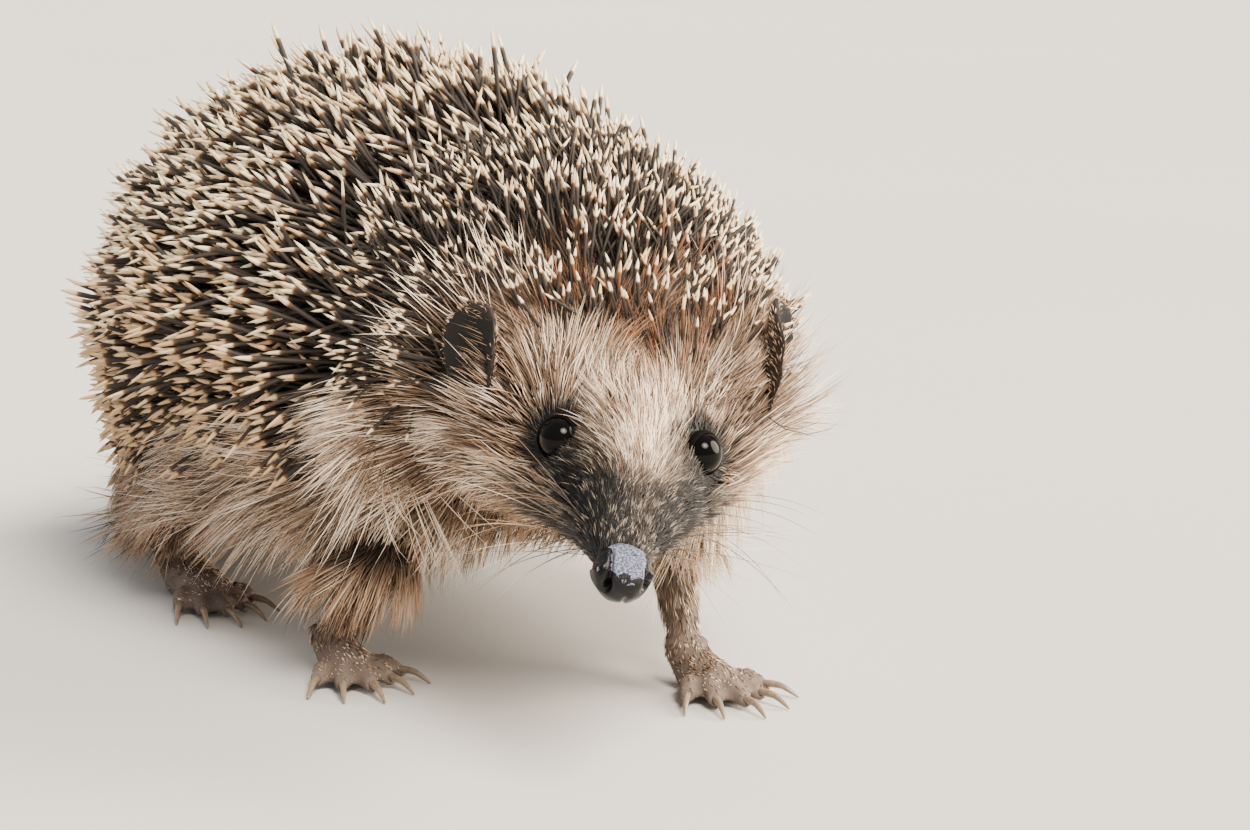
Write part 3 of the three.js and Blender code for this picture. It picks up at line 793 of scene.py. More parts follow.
class HEDGEHOG_OT_skin(bpy.types.Operator):
    """Make one skin over head, trunk, legs, ears and tail, under the coat's depth"""

    bl_idname = "hedgehog.skin"
    bl_label = "Skin"

    def execute(self, context):
        settings = context.scene.hedgehog_skin
        shells = [ear_shell(side) for side in SIDES]
        ears = joined(*(shell[:2] for shell in shells))
        body = joined(shrunk_body(), node_arrays(FEET, 0), ears)
        points, triangles = one_skin(body, settings.cell)
        points = relaxed(points, triangles, 4)
        points = sculpt_face(points, triangles, settings)
        place = Place(points)
        plain = (place.reach > 48 * MM) & (place.from_ear > 11 * MM) & (near_leg(place) < 0.5)
        ratio = min(1.0, SKIN_TRIANGLES / len(triangles))
        points, triangles = modified((points, triangles), "DECIMATE", plain, ratio=ratio)
        skin = new_object("skin", points, [triangles], [skin_finish(settings)])
        place = Place(points)
        near_ear = place.from_ear < 14 * MM
        nearest, away = nearest_of(points[near_ear], ears[0])
        ear, hollow = np.zeros((2, len(points)))
        ear[near_ear] = ramp_mm(away, 1.1, 0.7)
        hollows = np.concatenate([shell[2] for shell in shells])
        hollow[near_ear] = hollows[nearest] * ear[near_ear]
        rim = ramp(place.from_eye, EYE_RADIUS + 3.4 * MM, EYE_RADIUS + 2.2 * MM)
        rim = np.maximum(rim, ramp_mm(place.from_nose, 7.5, 5.5))
        own = {"leg": on_leg(place), "ear": ear, "hollow": hollow, "rim": rim}
        for key, value in {**markings_and_painted_light(place), **own}.items():
            add_values(skin.data, key, value)
        bodies = (*FLESH, *FEET, *EARS)
        covered = [node for node in bodies if not node.startswith(("eye", "nose"))]
        finish_piece(skin, "body_hair", *covered)
        return {"FINISHED"}


def skin_finish(settings):
    """Brown hide, darker under the mask, which by the right ear is partly painted shade, with
    leathery legs, dark ears whose hollows are near-black, partly dark skin and partly painted
    shade in the cup, black rims, and a net of fine wrinkles."""
    finish = Finish("hide")
    grain = finish.noise(0.6 * MM, 4.0, 0.6)
    blotch = finish.noise(5 * MM, 3.0)
    masked, dark_leg, dark_ear = paint(28, 23, 20), paint(88, 76, 68), paint(34, 28, 26)
    hide = finish.mix(tuple(settings.hide), masked, finish.value("mask"))
    leg = finish.mix(tuple(settings.bare), dark_leg, blotch)
    ear = finish.mix(tuple(settings.ear), dark_ear, blotch)
    colour = finish.mix(hide, leg, finish.value("leg"))
    colour = finish.mix(colour, ear, finish.value("ear"))
    # Near-black in the ears' hollows: partly dark skin, partly painted shade in the deep cup.
    ear_hollow_skin_and_shade = paint(14, 11, 10)
    colour = finish.mix(colour, ear_hollow_skin_and_shade, finish.value("hollow"))
    colour = finish.mix(colour, tuple(settings.rim), finish.value("rim"))
    height = grain * 0.5 + finish.cells(0.9 * MM)
    rough = 0.7 - finish.value("rim") * 0.15
    relief = finish.bump(height, 0.12 * MM, 0.6)
    return finish.surface(
        Base_Color=colour, Roughness=rough, Specular_IOR_Level=0.25, Normal=relief
    )


class Skin:
    """The finished skin: points, triangles, normals, their Place, and the values that it
    carries."""

    def __init__(self, mesh):
        self.points, self.triangles = mesh_arrays(mesh)
        self.normals = normals_of(self.points, self.triangles)
        self.place = Place(self.points)
        a, b, c = (self.points[self.triangles[:, k]] for k in range(3))
        self.area = np.linalg.norm(np.cross(b - a, c - a), axis=1)
        self.spined = spined(self.place)
        self.all_spines = spined(self.place, 1.5 * MM)
        self.leg = self.read(mesh, "leg")
        self.ear = self.read(mesh, "ear")
        self.hollow = self.read(mesh, "hollow")

    def read(self, mesh, name):
        """The number that each of the mesh's vertices carries under this name."""
        values = np.empty(len(self.points), dtype=np.float32)
        mesh.attributes[name].data.foreach_get("value", values)
        return values

    def haired(self):
        """1 where body hair grows: not far among the spines, on legs, on ears, on the eyes' rims
        or on the nose."""
        clear = ramp(self.place.from_eye, EYE_RADIUS + 0.35 * MM, EYE_RADIUS + 0.75 * MM)
        clear = clear * ramp_mm(self.place.from_nose, 4.3, 4.8)
        return (1 - self.all_spines) * (1 - self.leg) * (1 - self.ear) * clear


@cache
def the_skin():
    """The skin that all strands grow from, read once."""
    return Skin(bpy.data.objects["skin"].data)


# ---- Eyes, nose and claws


def ball(centre, radii, columns=48, rows=32, shape=None):
    """A closed ball: longitude across and latitude along, its radii to the head's left, forward
    and over. shape may change the unit points first."""
    latitude = np.linspace(0, pi, rows + 2)[1:-1][:, None]
    longitude = (np.arange(columns) * 2 * pi / columns)[None]
    x = np.sin(latitude) * np.cos(longitude)
    y = np.sin(latitude) * np.sin(longitude)
    z = np.cos(latitude) + 0 * longitude
    sphere = np.vstack([np.stack([x, y, z], axis=-1).reshape(-1, 3), [[0, 0, 1], [0, 0, -1]]])
    if shape:
        sphere = shape(sphere)
    scaled = sphere * np.array(radii)
    points = centre + scaled[:, :1] * LEFT + scaled[:, 1:2] * FORWARD + scaled[:, 2:] * OVER
    pole = rows * columns
    first, last = np.arange(columns), np.arange(columns) + (rows - 1) * columns
    return points, [grid_faces(rows, columns), fan(first[::-1], pole), fan(last, pole + 1)]


LID_HIGH = 0.36 * MM  # half its height over the eyeball
LID_WIDE = 0.75 * MM  # half its width along the eyeball
LID_OFF = 0.05 * MM  # how far its middle line lies over the eyeball


def lid_ring(side, opening):
    """A closed ring on the eyeball: the angle from the eye's axis is the opening, a little wider
    to front and back, and the ring's section is a flat ellipse."""
    steps, ring = 96, 14
    axis = unit(along_head(EYE_AXIS[0], EYE_AXIS[1], SIDES[side] * EYE_AXIS[2]))
    front = unit(FORWARD - dot(FORWARD, axis) * axis)
    above = np.cross(axis, front)
    phi = (np.arange(steps) * 2 * pi / steps)[:, None]
    alpha = opening + radians(5) * np.cos(2 * phi) + radians(4) * np.cos(phi) ** 8
    around = np.cos(phi) * front + np.sin(phi) * above
    spoke = np.cos(alpha) * axis + np.sin(alpha) * around
    along = np.sin(alpha) * axis - np.cos(alpha) * around
    theta = (np.arange(ring) * 2 * pi / ring)[None, :, None]
    line = EYE[side] + (EYE_RADIUS + LID_OFF) * spoke
    high = np.cos(theta) * LID_HIGH * spoke[:, None]
    points = line[:, None] + high + np.sin(theta) * LID_WIDE * along[:, None]
    return points.reshape(-1, 3), [grid_faces(steps + 1, ring) % (steps * ring)]


class HEDGEHOG_OT_eyes(bpy.types.Operator):
    """Make the two wet black eyeballs and the bare rims of their lids"""

    bl_idname = "hedgehog.eyes"
    bl_label = "Eyes"

    def execute(self, context):
        finish = Finish("eye_wet_black")
        depth = finish.noise(2 * MM)
        colour = finish.mix(paint(2, 2, 2), paint(8, 5, 4), depth)
        wet = finish.surface(Base_Color=colour, Roughness=0.05, IOR=1.2)
        finish = Finish("eyelid")
        grain = finish.noise(0.5 * MM, 3.0)
        colour = finish.mix(paint(4, 3, 3), paint(11, 9, 8), grain)
        rough = 0.7 + grain * 0.2
        relief = finish.bump(grain, 0.08 * MM, 0.6)
        lid = finish.surface(
            Base_Color=colour, Roughness=rough, Specular_IOR_Level=0.05, Normal=relief
        )
        for side in SIDES:
            points, faces = ball(EYE[side], [EYE_RADIUS] * 3)
            finish_piece(new_object(f"eyeball_{side}", points, faces, [wet]), "eye", f"eye_{side}")
            points, faces = lid_ring(side, context.scene.hedgehog_skin.opening)
            finish_piece(new_object(f"eyelid_{side}", points, faces, [lid]), "face_hair")
        return {"FINISHED"}


NOSE_RADII = (4.5 * MM, 4.3 * MM, 4.3 * MM)
NOSE_PLATE = np.array([0.0, 0.36, 0.933])  # the way its flat top faces: left, forward and over
NOSE_ASIDE = 0.12  # how far the plate lies to the left of the middle, as a share of the radius


def round_front(y, z):
    """Degrees from the nose's top round to its front: 0 on top, 90 in front."""
    return np.degrees(np.arctan2(y, z))


def nose_shape(p):
    """The unit sphere squared off and narrowed below, its top pressed to a flat plate. A slit runs
    from the top, round to the front, along each side of the plate and ends in a nostril, with a
    swollen wing outside it. A groove splits the front below them."""
    power, squared = 2.5, 0.55
    square = (np.abs(p) ** power).sum(axis=1) ** (1 / power)
    p = p / square[:, None] ** squared
    x, y, z = p.T
    side, angle = np.abs(x - NOSE_ASIDE), round_front(y, z)
    above = p @ NOSE_PLATE
    depth = above - 0.82
    pressed = 0.34 * (depth + np.sqrt(depth**2 + 0.015)) * ramp(side, 1.0, 0.5)
    # slit, nostril and groove are bell curves of the distance from their middle lines
    track = np.interp(angle, [0, 50, 100], [0.62, 0.68, 0.72])
    slit = np.exp(-(((side - track) / 0.08) ** 2)) * ramp(angle, -25, 5) * ramp(angle, 112, 92)
    hole = np.exp(-(((side - 0.7) / 0.13) ** 2 + ((angle - 84) / 14) ** 2))
    wing = ramp(side, track + 0.05, track + 0.18) * ramp(angle, 10, 45) * ramp(angle, 135, 100)
    groove = np.exp(-(((x - NOSE_ASIDE) / 0.07) ** 2)) * ramp(angle, 95, 115) * ramp(y, 0, 0.3)
    scale = 1 - 0.2 * slit - 0.32 * hole + 0.1 * wing - 0.06 * groove + 0.012 * drift(p, 0.5, 61)
    narrow = 1 - 0.14 * ramp(z, 0.15, -1.0)
    shaped = np.stack([x * narrow, y, z], axis=1) * scale[:, None]
    return shaped - pressed[:, None] * NOSE_PLATE


class HEDGEHOG_OT_nose(bpy.types.Operator):
    """Make the wet, grained nose pad, with a pale bluish reflection painted on its top"""

    bl_idname = "hedgehog.nose"
    bl_label = "Nose"

    def execute(self, context):
        finish = Finish("nose_wet_grain_painted_sheen")
        top = finish.value("top")
        grain = finish.cells(0.55 * MM)
        fine = finish.noise(0.35 * MM, 4.0, 0.7)
        ragged = (finish.noise(1.6 * MM, 2.0) - 0.5) * 2.2 + (fine - 0.5) * 0.8
        wrinkle = grain.between(0.0, 0.2) * 0.35 + fine.between(0.34, 0.66) * 0.65
        # The pale bluish ridges on the top plate are a painted reflection of the light on the wet
        # black pad.
        pit, pale_ridge_reflection = paint(18, 17, 21), paint(148, 152, 180)
        colour = finish.mix(paint(5, 5, 6), paint(13, 12, 13), fine)
        plate = finish.mix(pit, pale_ridge_reflection, wrinkle)
        colour = finish.mix(colour, plate, (top + ragged).between(0.42, 0.62))
        relief = finish.bump(wrinkle * (top * 0.94 + 0.06), 0.25 * MM)
        material = finish.surface(
            Base_Color=colour, Roughness=top * 0.12 + 0.16, IOR=1.29, Normal=relief
        )
        points, faces = ball(NOSE, NOSE_RADII, 128, 90, nose_shape)
        nose = new_object("nose_pad", points, faces, [material])
        offset = points - NOSE
        ends = ramp(round_front(offset @ FORWARD, offset @ OVER), 84, 26)
        sides = ramp(np.abs(offset @ LEFT / NOSE_RADII[0] - NOSE_ASIDE), 0.76, 0.44)
        upper = ramp(offset @ OVER, 0.2 * NOSE_RADII[2], 0.35 * NOSE_RADII[2])
        add_values(nose.data, "top", ends * sides * upper)
        finish_piece(nose, "nose_skin", "nose")
        return {"FINISHED"}


CLAW_SWELL = 0.03 * MM  # makes up for what the subdivision takes off


class HEDGEHOG_OT_claws(bpy.types.Operator):
    """Make the claws of the four feet, smooth and curved"""

    bl_idname = "hedgehog.claws"
    bl_label = "Claws"

    def execute(self, context):
        finish = Finish("claw_horn")
        streak = finish.noise(0.7 * MM, 3.0)
        colour = finish.mix(paint(150, 130, 106), paint(84, 70, 58), streak)
        material = finish.surface(Base_Color=colour, Roughness=0.36, Coat_Weight=0.3)
        for limb in LIMBS:
            nodes = [f"claw_{limb}_{toe}" for toe in range(1, 6)]
            points, triangles = node_arrays(nodes, CLAW_SWELL)
            claws = new_object(f"claws_{limb}", points, [triangles], [material])
            smooth = claws.modifiers.new("smooth", "SUBSURF")
            smooth.levels = smooth.render_levels = 2
            finish_piece(claws, "claw_horn", *nodes)
        return {"FINISHED"}


# ---- Strands: spines and hairs

PATCH = 0.003  # how wide a strand's patch is on the bake map
BLOCK = 500  # how many roots are compared with those beside them at a time
THINNING_ROUNDS = 12  # more than enough to settle every root


def scatter(density, count, seed, spacing=0.0):
    """Roots at random on the skin, as thick as density is at its points: where they are and the
    way out of the skin. With a spacing, a root that has an earlier one nearer than that is
    dropped."""
    skin = the_skin()
    rng = np.random.default_rng(seed)
    weight = skin.area * density[skin.triangles].mean(axis=1)
    chosen = rng.choice(len(weight), count, p=weight / weight.sum())
    u, v = rng.random((2, count))
    fold = u + v > 1
    u, v = np.where(fold, 1 - u, u), np.where(fold, 1 - v, v)
    shares = np.stack([1 - u - v, u, v], axis=1)[:, :, None]
    corner = skin.triangles[chosen]
    roots = np.sum(skin.points[corner] * shares, axis=1)
    outward = unit(np.sum(skin.normals[corner] * shares, axis=1))
    if spacing:
        keep = thinned(roots, spacing)
        roots, outward = roots[keep], outward[keep]
    return Place(roots), outward


def thinned(points, spacing):
    """Which points to keep so that no two are nearer than spacing. In each round, a point that has
    no earlier rival left stays and drops its later ones."""
    order = np.argsort(points[:, 1])
    lengthways = points[order, 1]
    pairs = []
    for start in range(0, len(points), BLOCK):
        block = order[start : start + BLOCK]
        end = lengthways[min(start + BLOCK, len(points)) - 1] + spacing
        others = order[start : np.searchsorted(lengthways, end)]
        squares = square_distances(points[block], points[others])
        first, second = np.nonzero(squares < (spacing / MM) ** 2)
        first, second = block[first], others[second]
        pairs.append(np.sort(np.stack([first, second])[:, first != second], axis=0))
    early, late = np.hstack(pairs)
    undecided, kept = np.ones(len(points), dtype=bool), np.zeros(len(points), dtype=bool)
    for _ in range(THINNING_ROUNDS):
        live = undecided[early] & undecided[late]
        blocked = np.zeros(len(points), dtype=bool)
        blocked[late[live]] = True
        winners = undecided & ~blocked
        kept |= winners
        undecided &= ~winners
        undecided[late[winners[early]]] = False
    return kept


def flow(place, outward, fall):
    """The lie of the coat along the skin: away from the nose on the head, parting round the eyes,
    and backwards and down by fall behind it."""
    from_nose = unit(place.points - (NOSE + 4 * MM * FORWARD))
    eye = np.where(place.across[:, None] > 0, EYE["left"], EYE["right"])
    parting = 0.8 * ramp_mm(place.from_eye, 8, 5)[:, None]
    from_nose = unit(from_nose + parting * unit(place.points - eye))
    trunk = unit(BACKWARDS - np.reshape(fall, (-1, 1)) * UP + 0 * place.points)
    low = 10 * MM * ramp(place.side, 55, 80)
    share = ramp(place.reach, 46 * MM - low / 2, 84 * MM - low)[:, None]
    lie = blend(from_nose, trunk, share)
    return unit(lie - dot(lie, outward)[:, None] * outward)


def turned(lie, outward, degrees):
    """The lie turned about the way out."""
    angle = np.radians(degrees)[:, None]
    return np.cos(angle) * lie + np.sin(angle) * np.cross(outward, lie)


def centre_lines(roots, outward, lie, length, lift, shares, bend, droop=0.0, sway=0.0):
    """Each strand's centre line, at the given shares of its length. Its heading starts lift
    degrees above the lie and loses a share bend of that by the tip, while it sways aside and
    droops in proportion to the length passed."""
    share = ((shares[1:] + shares[:-1]) / 2)[None, :, None]
    angle = np.radians(lift)[:, None, None] * (1 - bend * share)
    heading = np.cos(angle) * lie[:, None] + np.sin(angle) * outward[:, None]
    heading = heading + np.reshape(sway, (-1, 1, 1)) * share * np.cross(outward, lie)[:, None]
    heading = unit(heading - np.reshape(droop, (-1, 1, 1)) * share * UP)
    steps = np.cumsum(heading * (length[:, None] * np.diff(shares)[None])[:, :, None], axis=1)
    return np.concatenate([roots[:, None], roots[:, None] + steps], axis=1)


def gathered(lines, every, pull, rng):
    """Locks: one strand in every few leads, and the rest lean towards the nearest leader, by pull
    at the tip. Returns the lines and a tone for each strand, which is near its leader's."""
    leaders = rng.choice(len(lines), max(1, len(lines) // every), replace=False)
    nearest, _ = nearest_of(lines[:, 0], lines[leaders, 0])
    leader = lines[leaders[nearest]]
    share = np.linspace(0, 1, lines.shape[1])[None, :, None]
    gap = (lines[:, :1] - leader[:, :1]) * (1 - 0.6 * share)
    tone = rng.random(len(leaders))[nearest] + rng.uniform(-0.35, 0.35, len(lines))
    return blend(lines, leader + gap, pull * share), np.clip(tone, 0, 1)


def tubes(lines, radius, profile, outward, sides):
    """Tapered tubes along the lines: a ring of points round each point of a line but the last,
    which is the tip. A ring's radius is the strand's own times the profile there. Returns points,
    faces and how many points a tube has."""
    count, stations = lines.shape[:2]
    rings = stations - 1
    ahead = unit(np.gradient(lines, axis=1))
    across = unit(np.cross(ahead, outward[:, None]))
    above = np.cross(across, ahead)
    angle = (np.arange(sides) * 2 * pi / sides)[None, None, :, None]
    reach = (radius[:, None] * profile[None, :rings])[:, :, None, None]
    ring = lines[:, :rings, None] + reach * (
        np.cos(angle) * across[:, :rings, None] + np.sin(angle) * above[:, :rings, None]
    )
    points = np.concatenate([ring.reshape(count, rings * sides, 3), lines[:, -1:]], axis=1)
    each = rings * sides + 1
    first_ring, last_ring = np.arange(sides), np.arange(sides) + (rings - 1) * sides
    starts = (np.arange(count) * each)[:, None, None]
    pattern = (grid_faces(rings, sides), fan(last_ring, each - 1), first_ring[::-1][None])
    faces = [(starts + face[None]).reshape(-1, face.shape[1]) for face in pattern]
    return points.reshape(-1, 3), faces, each


def body_map(place):
    """Unwrap of the body's own shape: girth across and reach along, stretched to the piece's own
    range."""
    stretched = [(x - x.min()) / (np.ptp(x) + 1e-9) for x in (place.girth, place.reach)]
    return np.stack(stretched, axis=1) * (1 - 2 * PATCH) + PATCH


def leg_map(place):
    """Unwrap of the four legs side by side: the angle round each one across, and height along."""
    centres = np.array([middle_of(foot) for foot in FEET])
    nearest, _ = nearest_of(place.points, centres)
    own = place.points - centres[nearest]
    used = 0.98  # the rest keeps the legs' patches apart
    around = (np.arctan2(own[:, 1], own[:, 0]) / (2 * pi) + 0.5) * used
    height = place.height / place.height.max() * used
    return np.stack([(nearest + around) / len(FEET), height], axis=1) + PATCH


def strand_piece(
    name, slot, material, place, outward, lines, radius, shares, profile, sides, own,
    unwrap=body_map,
):
    """One mesh of all the strands, with what its material reads: how far along, the markings with
    their painted light and shade, and each strand's own values, such as its tone."""
    points, faces, each = tubes(lines, radius, profile, outward, sides)
    count = len(lines)
    share = np.tile(np.append(np.repeat(shares[:-1], sides), 1.0), count)
    around = np.tile(np.append(np.tile(np.arange(sides) / sides, len(shares) - 1), 0.5), count)
    obj = new_object(name, points, faces, [material])
    add_values(obj.data, "along", share)
    for key, value in {**markings_and_painted_light(place), **own}.items():
        add_values(obj.data, key, np.repeat(value, each))
    patch = np.stack([around - 0.5, share - 0.5], axis=1) * PATCH
    add_bake_map(obj.data, np.repeat(unwrap(place), each, axis=0) + patch)
    return finish_piece(obj, slot)


# ---- Spines

SPINE_SHARES = np.array([0.0, 0.5, 0.83, 0.93, 1.0])
SPINE_PROFILE = np.array([0.5, 0.85, 1.0, 0.66, 0.0])
SPINE_TRIES = 42000  # roots tried, before those too near to another are dropped
CROWN_LENGTH, CROWN_RADIUS = 0.64, 0.66  # of a spine on the crown, as shares of one on the back
EDGE_LENGTH = 0.75  # the same for a spine at the border with the hair
SPINE_SIDES = 4
SPINE_SEED, ROOT_SEED = 11, 5
REAR = 130 * MM  # behind the nose, where the rear spines' pieces begin
QUARTERS = ("front_right", "front_left", "rear_right", "rear_left")


def spine_finish(settings):
    """Brown shaft, dark band and pale tip, with a warm ring between the two, and a rusty tinge at
    the crown. The brown shaft and the band's reach down it, where a real spine's base is pale, are
    partly painted shade between the spines. ratio is nearer 1 the longer the spine, so that the
    pale part takes a larger share of a short one."""
    finish = Finish("spine")
    along, tone, rust, ratio = (finish.value(name) for name in ("along", "tone", "rust", "ratio"))
    mark = 1 - (1 - along) * ratio + (tone - 0.5) * 0.05
    dark_shaft, rusty = paint(60, 48, 40), paint(132, 84, 48)
    # Shaft darker than a real spine's pale base: painted shade between the spines. A higher tone
    # darkens it more.
    shaft = finish.mix(tuple(settings.shaft), dark_shaft, tone)
    colour = finish.mix(shaft, tuple(settings.band), mark.between(0.1, 0.35))
    colour = finish.mix(colour, tuple(settings.edge), mark.between(0.78, 0.825))
    redden = rust * mark.between(0.5, 0.75) * tone.between(0.45, 0.75) * 0.55
    colour = finish.mix(colour, rusty, redden)
    tip = finish.mix(tuple(settings.tip), tuple(settings.tan), tone)
    colour = finish.mix(colour, tip, mark.between(0.82, 0.86))
    return finish.surface(Base_Color=colour, Roughness=0.5, Specular_IOR_Level=0.12)


class HEDGEHOG_OT_spines(bpy.types.Operator):
    """Grow the spines of crown, back and flanks"""

    bl_idname = "hedgehog.spines"
    bl_label = "Spines"

    def execute(self, context):
        settings = context.scene.hedgehog_spines
        rng = np.random.default_rng(SPINE_SEED)
        density = the_skin().spined * (1 - the_skin().ear)
        place, outward = scatter(density, SPINE_TRIES, ROOT_SEED, settings.spacing)
        keep = rng.random(len(outward)) > 0.08 * ramp_mm(place.reach, 105, 75)
        place, outward = Place(place.points[keep]), outward[keep]
        count = len(outward)
        crown = ramp_mm(place.reach, 105, 60)
        rump = ramp_mm(place.reach, 180, 225)
        fall = 0.05 + 0.15 * ramp(place.side, 50, 100) + 0.5 * rump
        length = settings.length * blend(1.0, CROWN_LENGTH, crown) * rng.normal(1.0, 0.09, count)
        length = length * blend(EDGE_LENGTH, 1.0, spined(place, 8 * MM))
        lift = np.degrees(settings.lift) - 2 * crown - 8 * rump - 5 * ramp(place.side, 60, 110)
        lift = lift + 7 * drift(place.points, 13 * MM, 8) + rng.normal(0, 9, count)
        aside = 18 * drift(place.points, 16 * MM, 9) + rng.normal(0, 24, count)
        lie = turned(flow(place, outward, fall), outward, aside)
        lines = centre_lines(place.points, outward, lie, length, lift, SPINE_SHARES, 0.12)
        radius = settings.radius * blend(1.0, CROWN_RADIUS, crown) * rng.normal(1.0, 0.08, count)
        material = spine_finish(settings)
        ratio = (length / settings.length) ** 0.15
        # Low on the flanks from the shoulders back, the tone is raised so tips turn tan and shafts
        # darker: painted shade.
        low = ramp(place.side, 50, 95) * ramp_mm(place.reach, 75, 120)
        quarter = (place.reach > REAR) * 2 + (place.girth > 0)
        for index, name in enumerate(QUARTERS):
            part = quarter == index
            tone = np.clip(rng.random(part.sum()) + 0.8 * low[part], 0, 1)
            strand_piece(
                f"spines_{name}", "spines", material, Place(place.points[part]), outward[part],
                lines[part], radius[part], SPINE_SHARES, SPINE_PROFILE, SPINE_SIDES,
                {"tone": tone, "ratio": ratio[part]},
            )
        return {"FINISHED"}


# ---- Hair

HAIR_PROFILE = (0.8, 1.0, 0.95, 0.78, 0.5, 0.0)
FLOOR_GAP = 1.2 * MM  # the lowest that a hair may reach over the floor
FEWEST_HAIRS = 60
FACE_LENGTHS = (  # millimetres behind the nose, and how long the hair is there
    (0, 1.2), (8, 2.2), (16, 4), (24, 7.5), (33, 11.5), (42, 14), (50, 15), (70, 17),
)
BODY_LENGTHS = ((50, 17), (70, 26), (95, 33), (150, 33), (215, 32), (245, 22))
LEG_LENGTHS = ((0, 0.8), (5, 1.5), (12, 2.8), (18, 4.5), (27, 7))  # by height over the floor
HAIR_SIDES = 3
BROW_EDGE = 62  # degrees from the top, where the brow's piece ends and the cheek's begins


def hair_finish(name, settings):
    """Dark root, brown middle and a tan or cream tip. Some hairs are dark all along. The markings
    darken, pale or redden them, with some painted light and shade among them."""
    finish = Finish(name)
    names = ("along", "tone", "mask", "pale", "rust")
    along, tone, mask, pale, rust = (finish.value(key) for key in names)
    creamy = (tone + pale).between(0.88, 1.12)
    tip = finish.mix(tuple(settings.tan), tuple(settings.cream), creamy)
    colour = finish.mix(tuple(settings.root), tuple(settings.middle), along.between(0.05, 0.35))
    colour = finish.mix(colour, tip, along.between(0.3, 0.65))
    dark_hair = (1 - (tone - rust * 0.2).between(0.18, 0.26)) * (1 - pale * 0.7) * 0.95
    colour = finish.mix(colour, tuple(settings.dark), dark_hair)
    redden = rust * tone.between(0.25, 0.45) * 0.85
    redden = redden * along.between(0.1, 0.4) * (1 - along.between(0.7, 1.1) * 0.4)
    colour = finish.mix(colour, tuple(settings.rust), redden)
    black, masked = paint(20, 17, 16), mask * (1 - tone.between(0.8, 0.97) * 0.22)
    colour = finish.mix(colour, black, masked)
    return finish.surface(Base_Color=colour, Roughness=0.48, Specular_IOR_Level=0.35)


def grow(
    name, slot, material, settings, density, length, lift, count, seed, steps=4, fall=0.0,
    lock=(9, 0.5), spread=8, waves=10, bend=0.3, droop=0.05, thick=1.0, pale=None, lie_of=flow,
    unwrap=body_map,
):
    """A piece of hair. length, lift and fall are numbers or functions of the roots' Place, fall
    being how far the lie drops for each step backwards. lock is how many hairs a leader has and
    how far they lean to it. spread and waves are how many degrees hairs turn aside, alone and
    together. pale sets all hairs alike, with no mask, in place of the markings."""
    rng = np.random.default_rng(seed)
    place, outward = scatter(density, max(FEWEST_HAIRS, int(count * settings.share)), seed)
    count = len(outward)
    shape = (value(place) if callable(value) else value for value in (length, lift, fall))
    length, lift, fall = shape
    aside = waves * drift(place.points, 16 * MM, 31) + rng.normal(0, spread, count)
    lie = turned(lie_of(place, outward, fall), outward, aside)
    own_length = length * rng.uniform(0.7, 1.2, count)
    own_lift = lift + 0.35 * waves * drift(place.points, 11 * MM, 32) + rng.normal(0, 4, count)
    sway = 0.3 * drift(place.points, 26 * MM, 33) + rng.normal(0, 0.012 * spread, count)
    shares = np.linspace(0, 1, steps + 1)
    lines = centre_lines(
        place.points, outward, lie, own_length, own_lift, shares, bend, droop, sway
    )
    lines, tone = gathered(lines, *lock, rng)
    lines[:, :, 2] = np.maximum(lines[:, :, 2], FLOOR_GAP)
    profile = np.interp(shares, np.linspace(0, 1, len(HAIR_PROFILE)), HAIR_PROFILE)
    radius = settings.radius * thick * rng.uniform(0.7, 1.25, count)
    own = {"tone": tone}
    if pale is not None:
        own.update(pale=np.full(count, pale), mask=np.zeros(count))
    return strand_piece(
        name, slot, material, place, outward, lines, radius, shares, profile, HAIR_SIDES, own,
        unwrap,
    )


class HEDGEHOG_OT_face_hair(bpy.types.Operator):
    """Grow the hair of muzzle, brow, forehead and cheeks"""

    bl_idname = "hedgehog.face_hair"
    bl_label = "Face hair"

    def execute(self, context):
        settings = context.scene.hedgehog_hair
        material = hair_finish("face_hair", settings)
        skin = the_skin()
        place = skin.place
        density = skin.haired() * ramp_mm(place.reach, 68, 60)
        density = density * (1 + 2.0 * ramp_mm(place.reach, 30, 16))
        density = density * blend(0.3, 1.0, ramp_mm(place.from_ear, 8, 12))
        density = density + 0.5 * markings_and_painted_light(place)["rust"]

        def left_cheek(place):
            """1 on the cheek that the head's turn stretches."""
            return ramp(place.girth, 55, 85) * ramp_mm(place.reach, 38, 52)

        def length(place):
            """Short near the eyes and at the temples, long on the jowls."""
            temple = ramp_mm(place.ahead, -10, -22) * ramp(place.side, 90, 65)
            jowl = ramp(place.side, 70, 100) * ramp_mm(place.reach, 20, 35)
            long = table(place.reach, *FACE_LENGTHS)
            long = long * blend(0.35, 1, ramp_mm(place.from_eye, 4.5, 9))
            long = long * blend(1, 0.7, temple)
            long = long * blend(1, 1.35, left_cheek(place))
            return long * blend(1, 1.25, jowl)

        def lift(place):
            """Degrees between hair and skin: steeper on the muzzle and behind the face."""
            own = 13 + 7 * ramp_mm(place.reach, 36, 60)
            own = own + 6 * ramp_mm(place.reach, 25, 12)
            return own + 13 * left_cheek(place)

        def fall(place):
            """Straight back on top, and down on the sides."""
            return 0.75 * ramp(place.side, 55, 85)

        for side, sign in SIDES.items():
            own = density * (place.girth * sign > 0)
            brow = own * (place.side < BROW_EDGE)
            cheek = own * (place.side >= BROW_EDGE)
            grow(
                f"hair_brow_{side}", "face_hair", material, settings, brow, length, lift,
                count=7000, seed=28 + sign, fall=fall, lock=(6, 0.45), spread=12, waves=13,
                thick=0.98,
            )
            grow(
                f"hair_cheek_{side}", "face_hair", material, settings, cheek, length, lift,
                count=5300, seed=21 + sign, fall=fall, lock=(8, 0.5), spread=9, droop=0.15,
            )
        return {"FINISHED"}


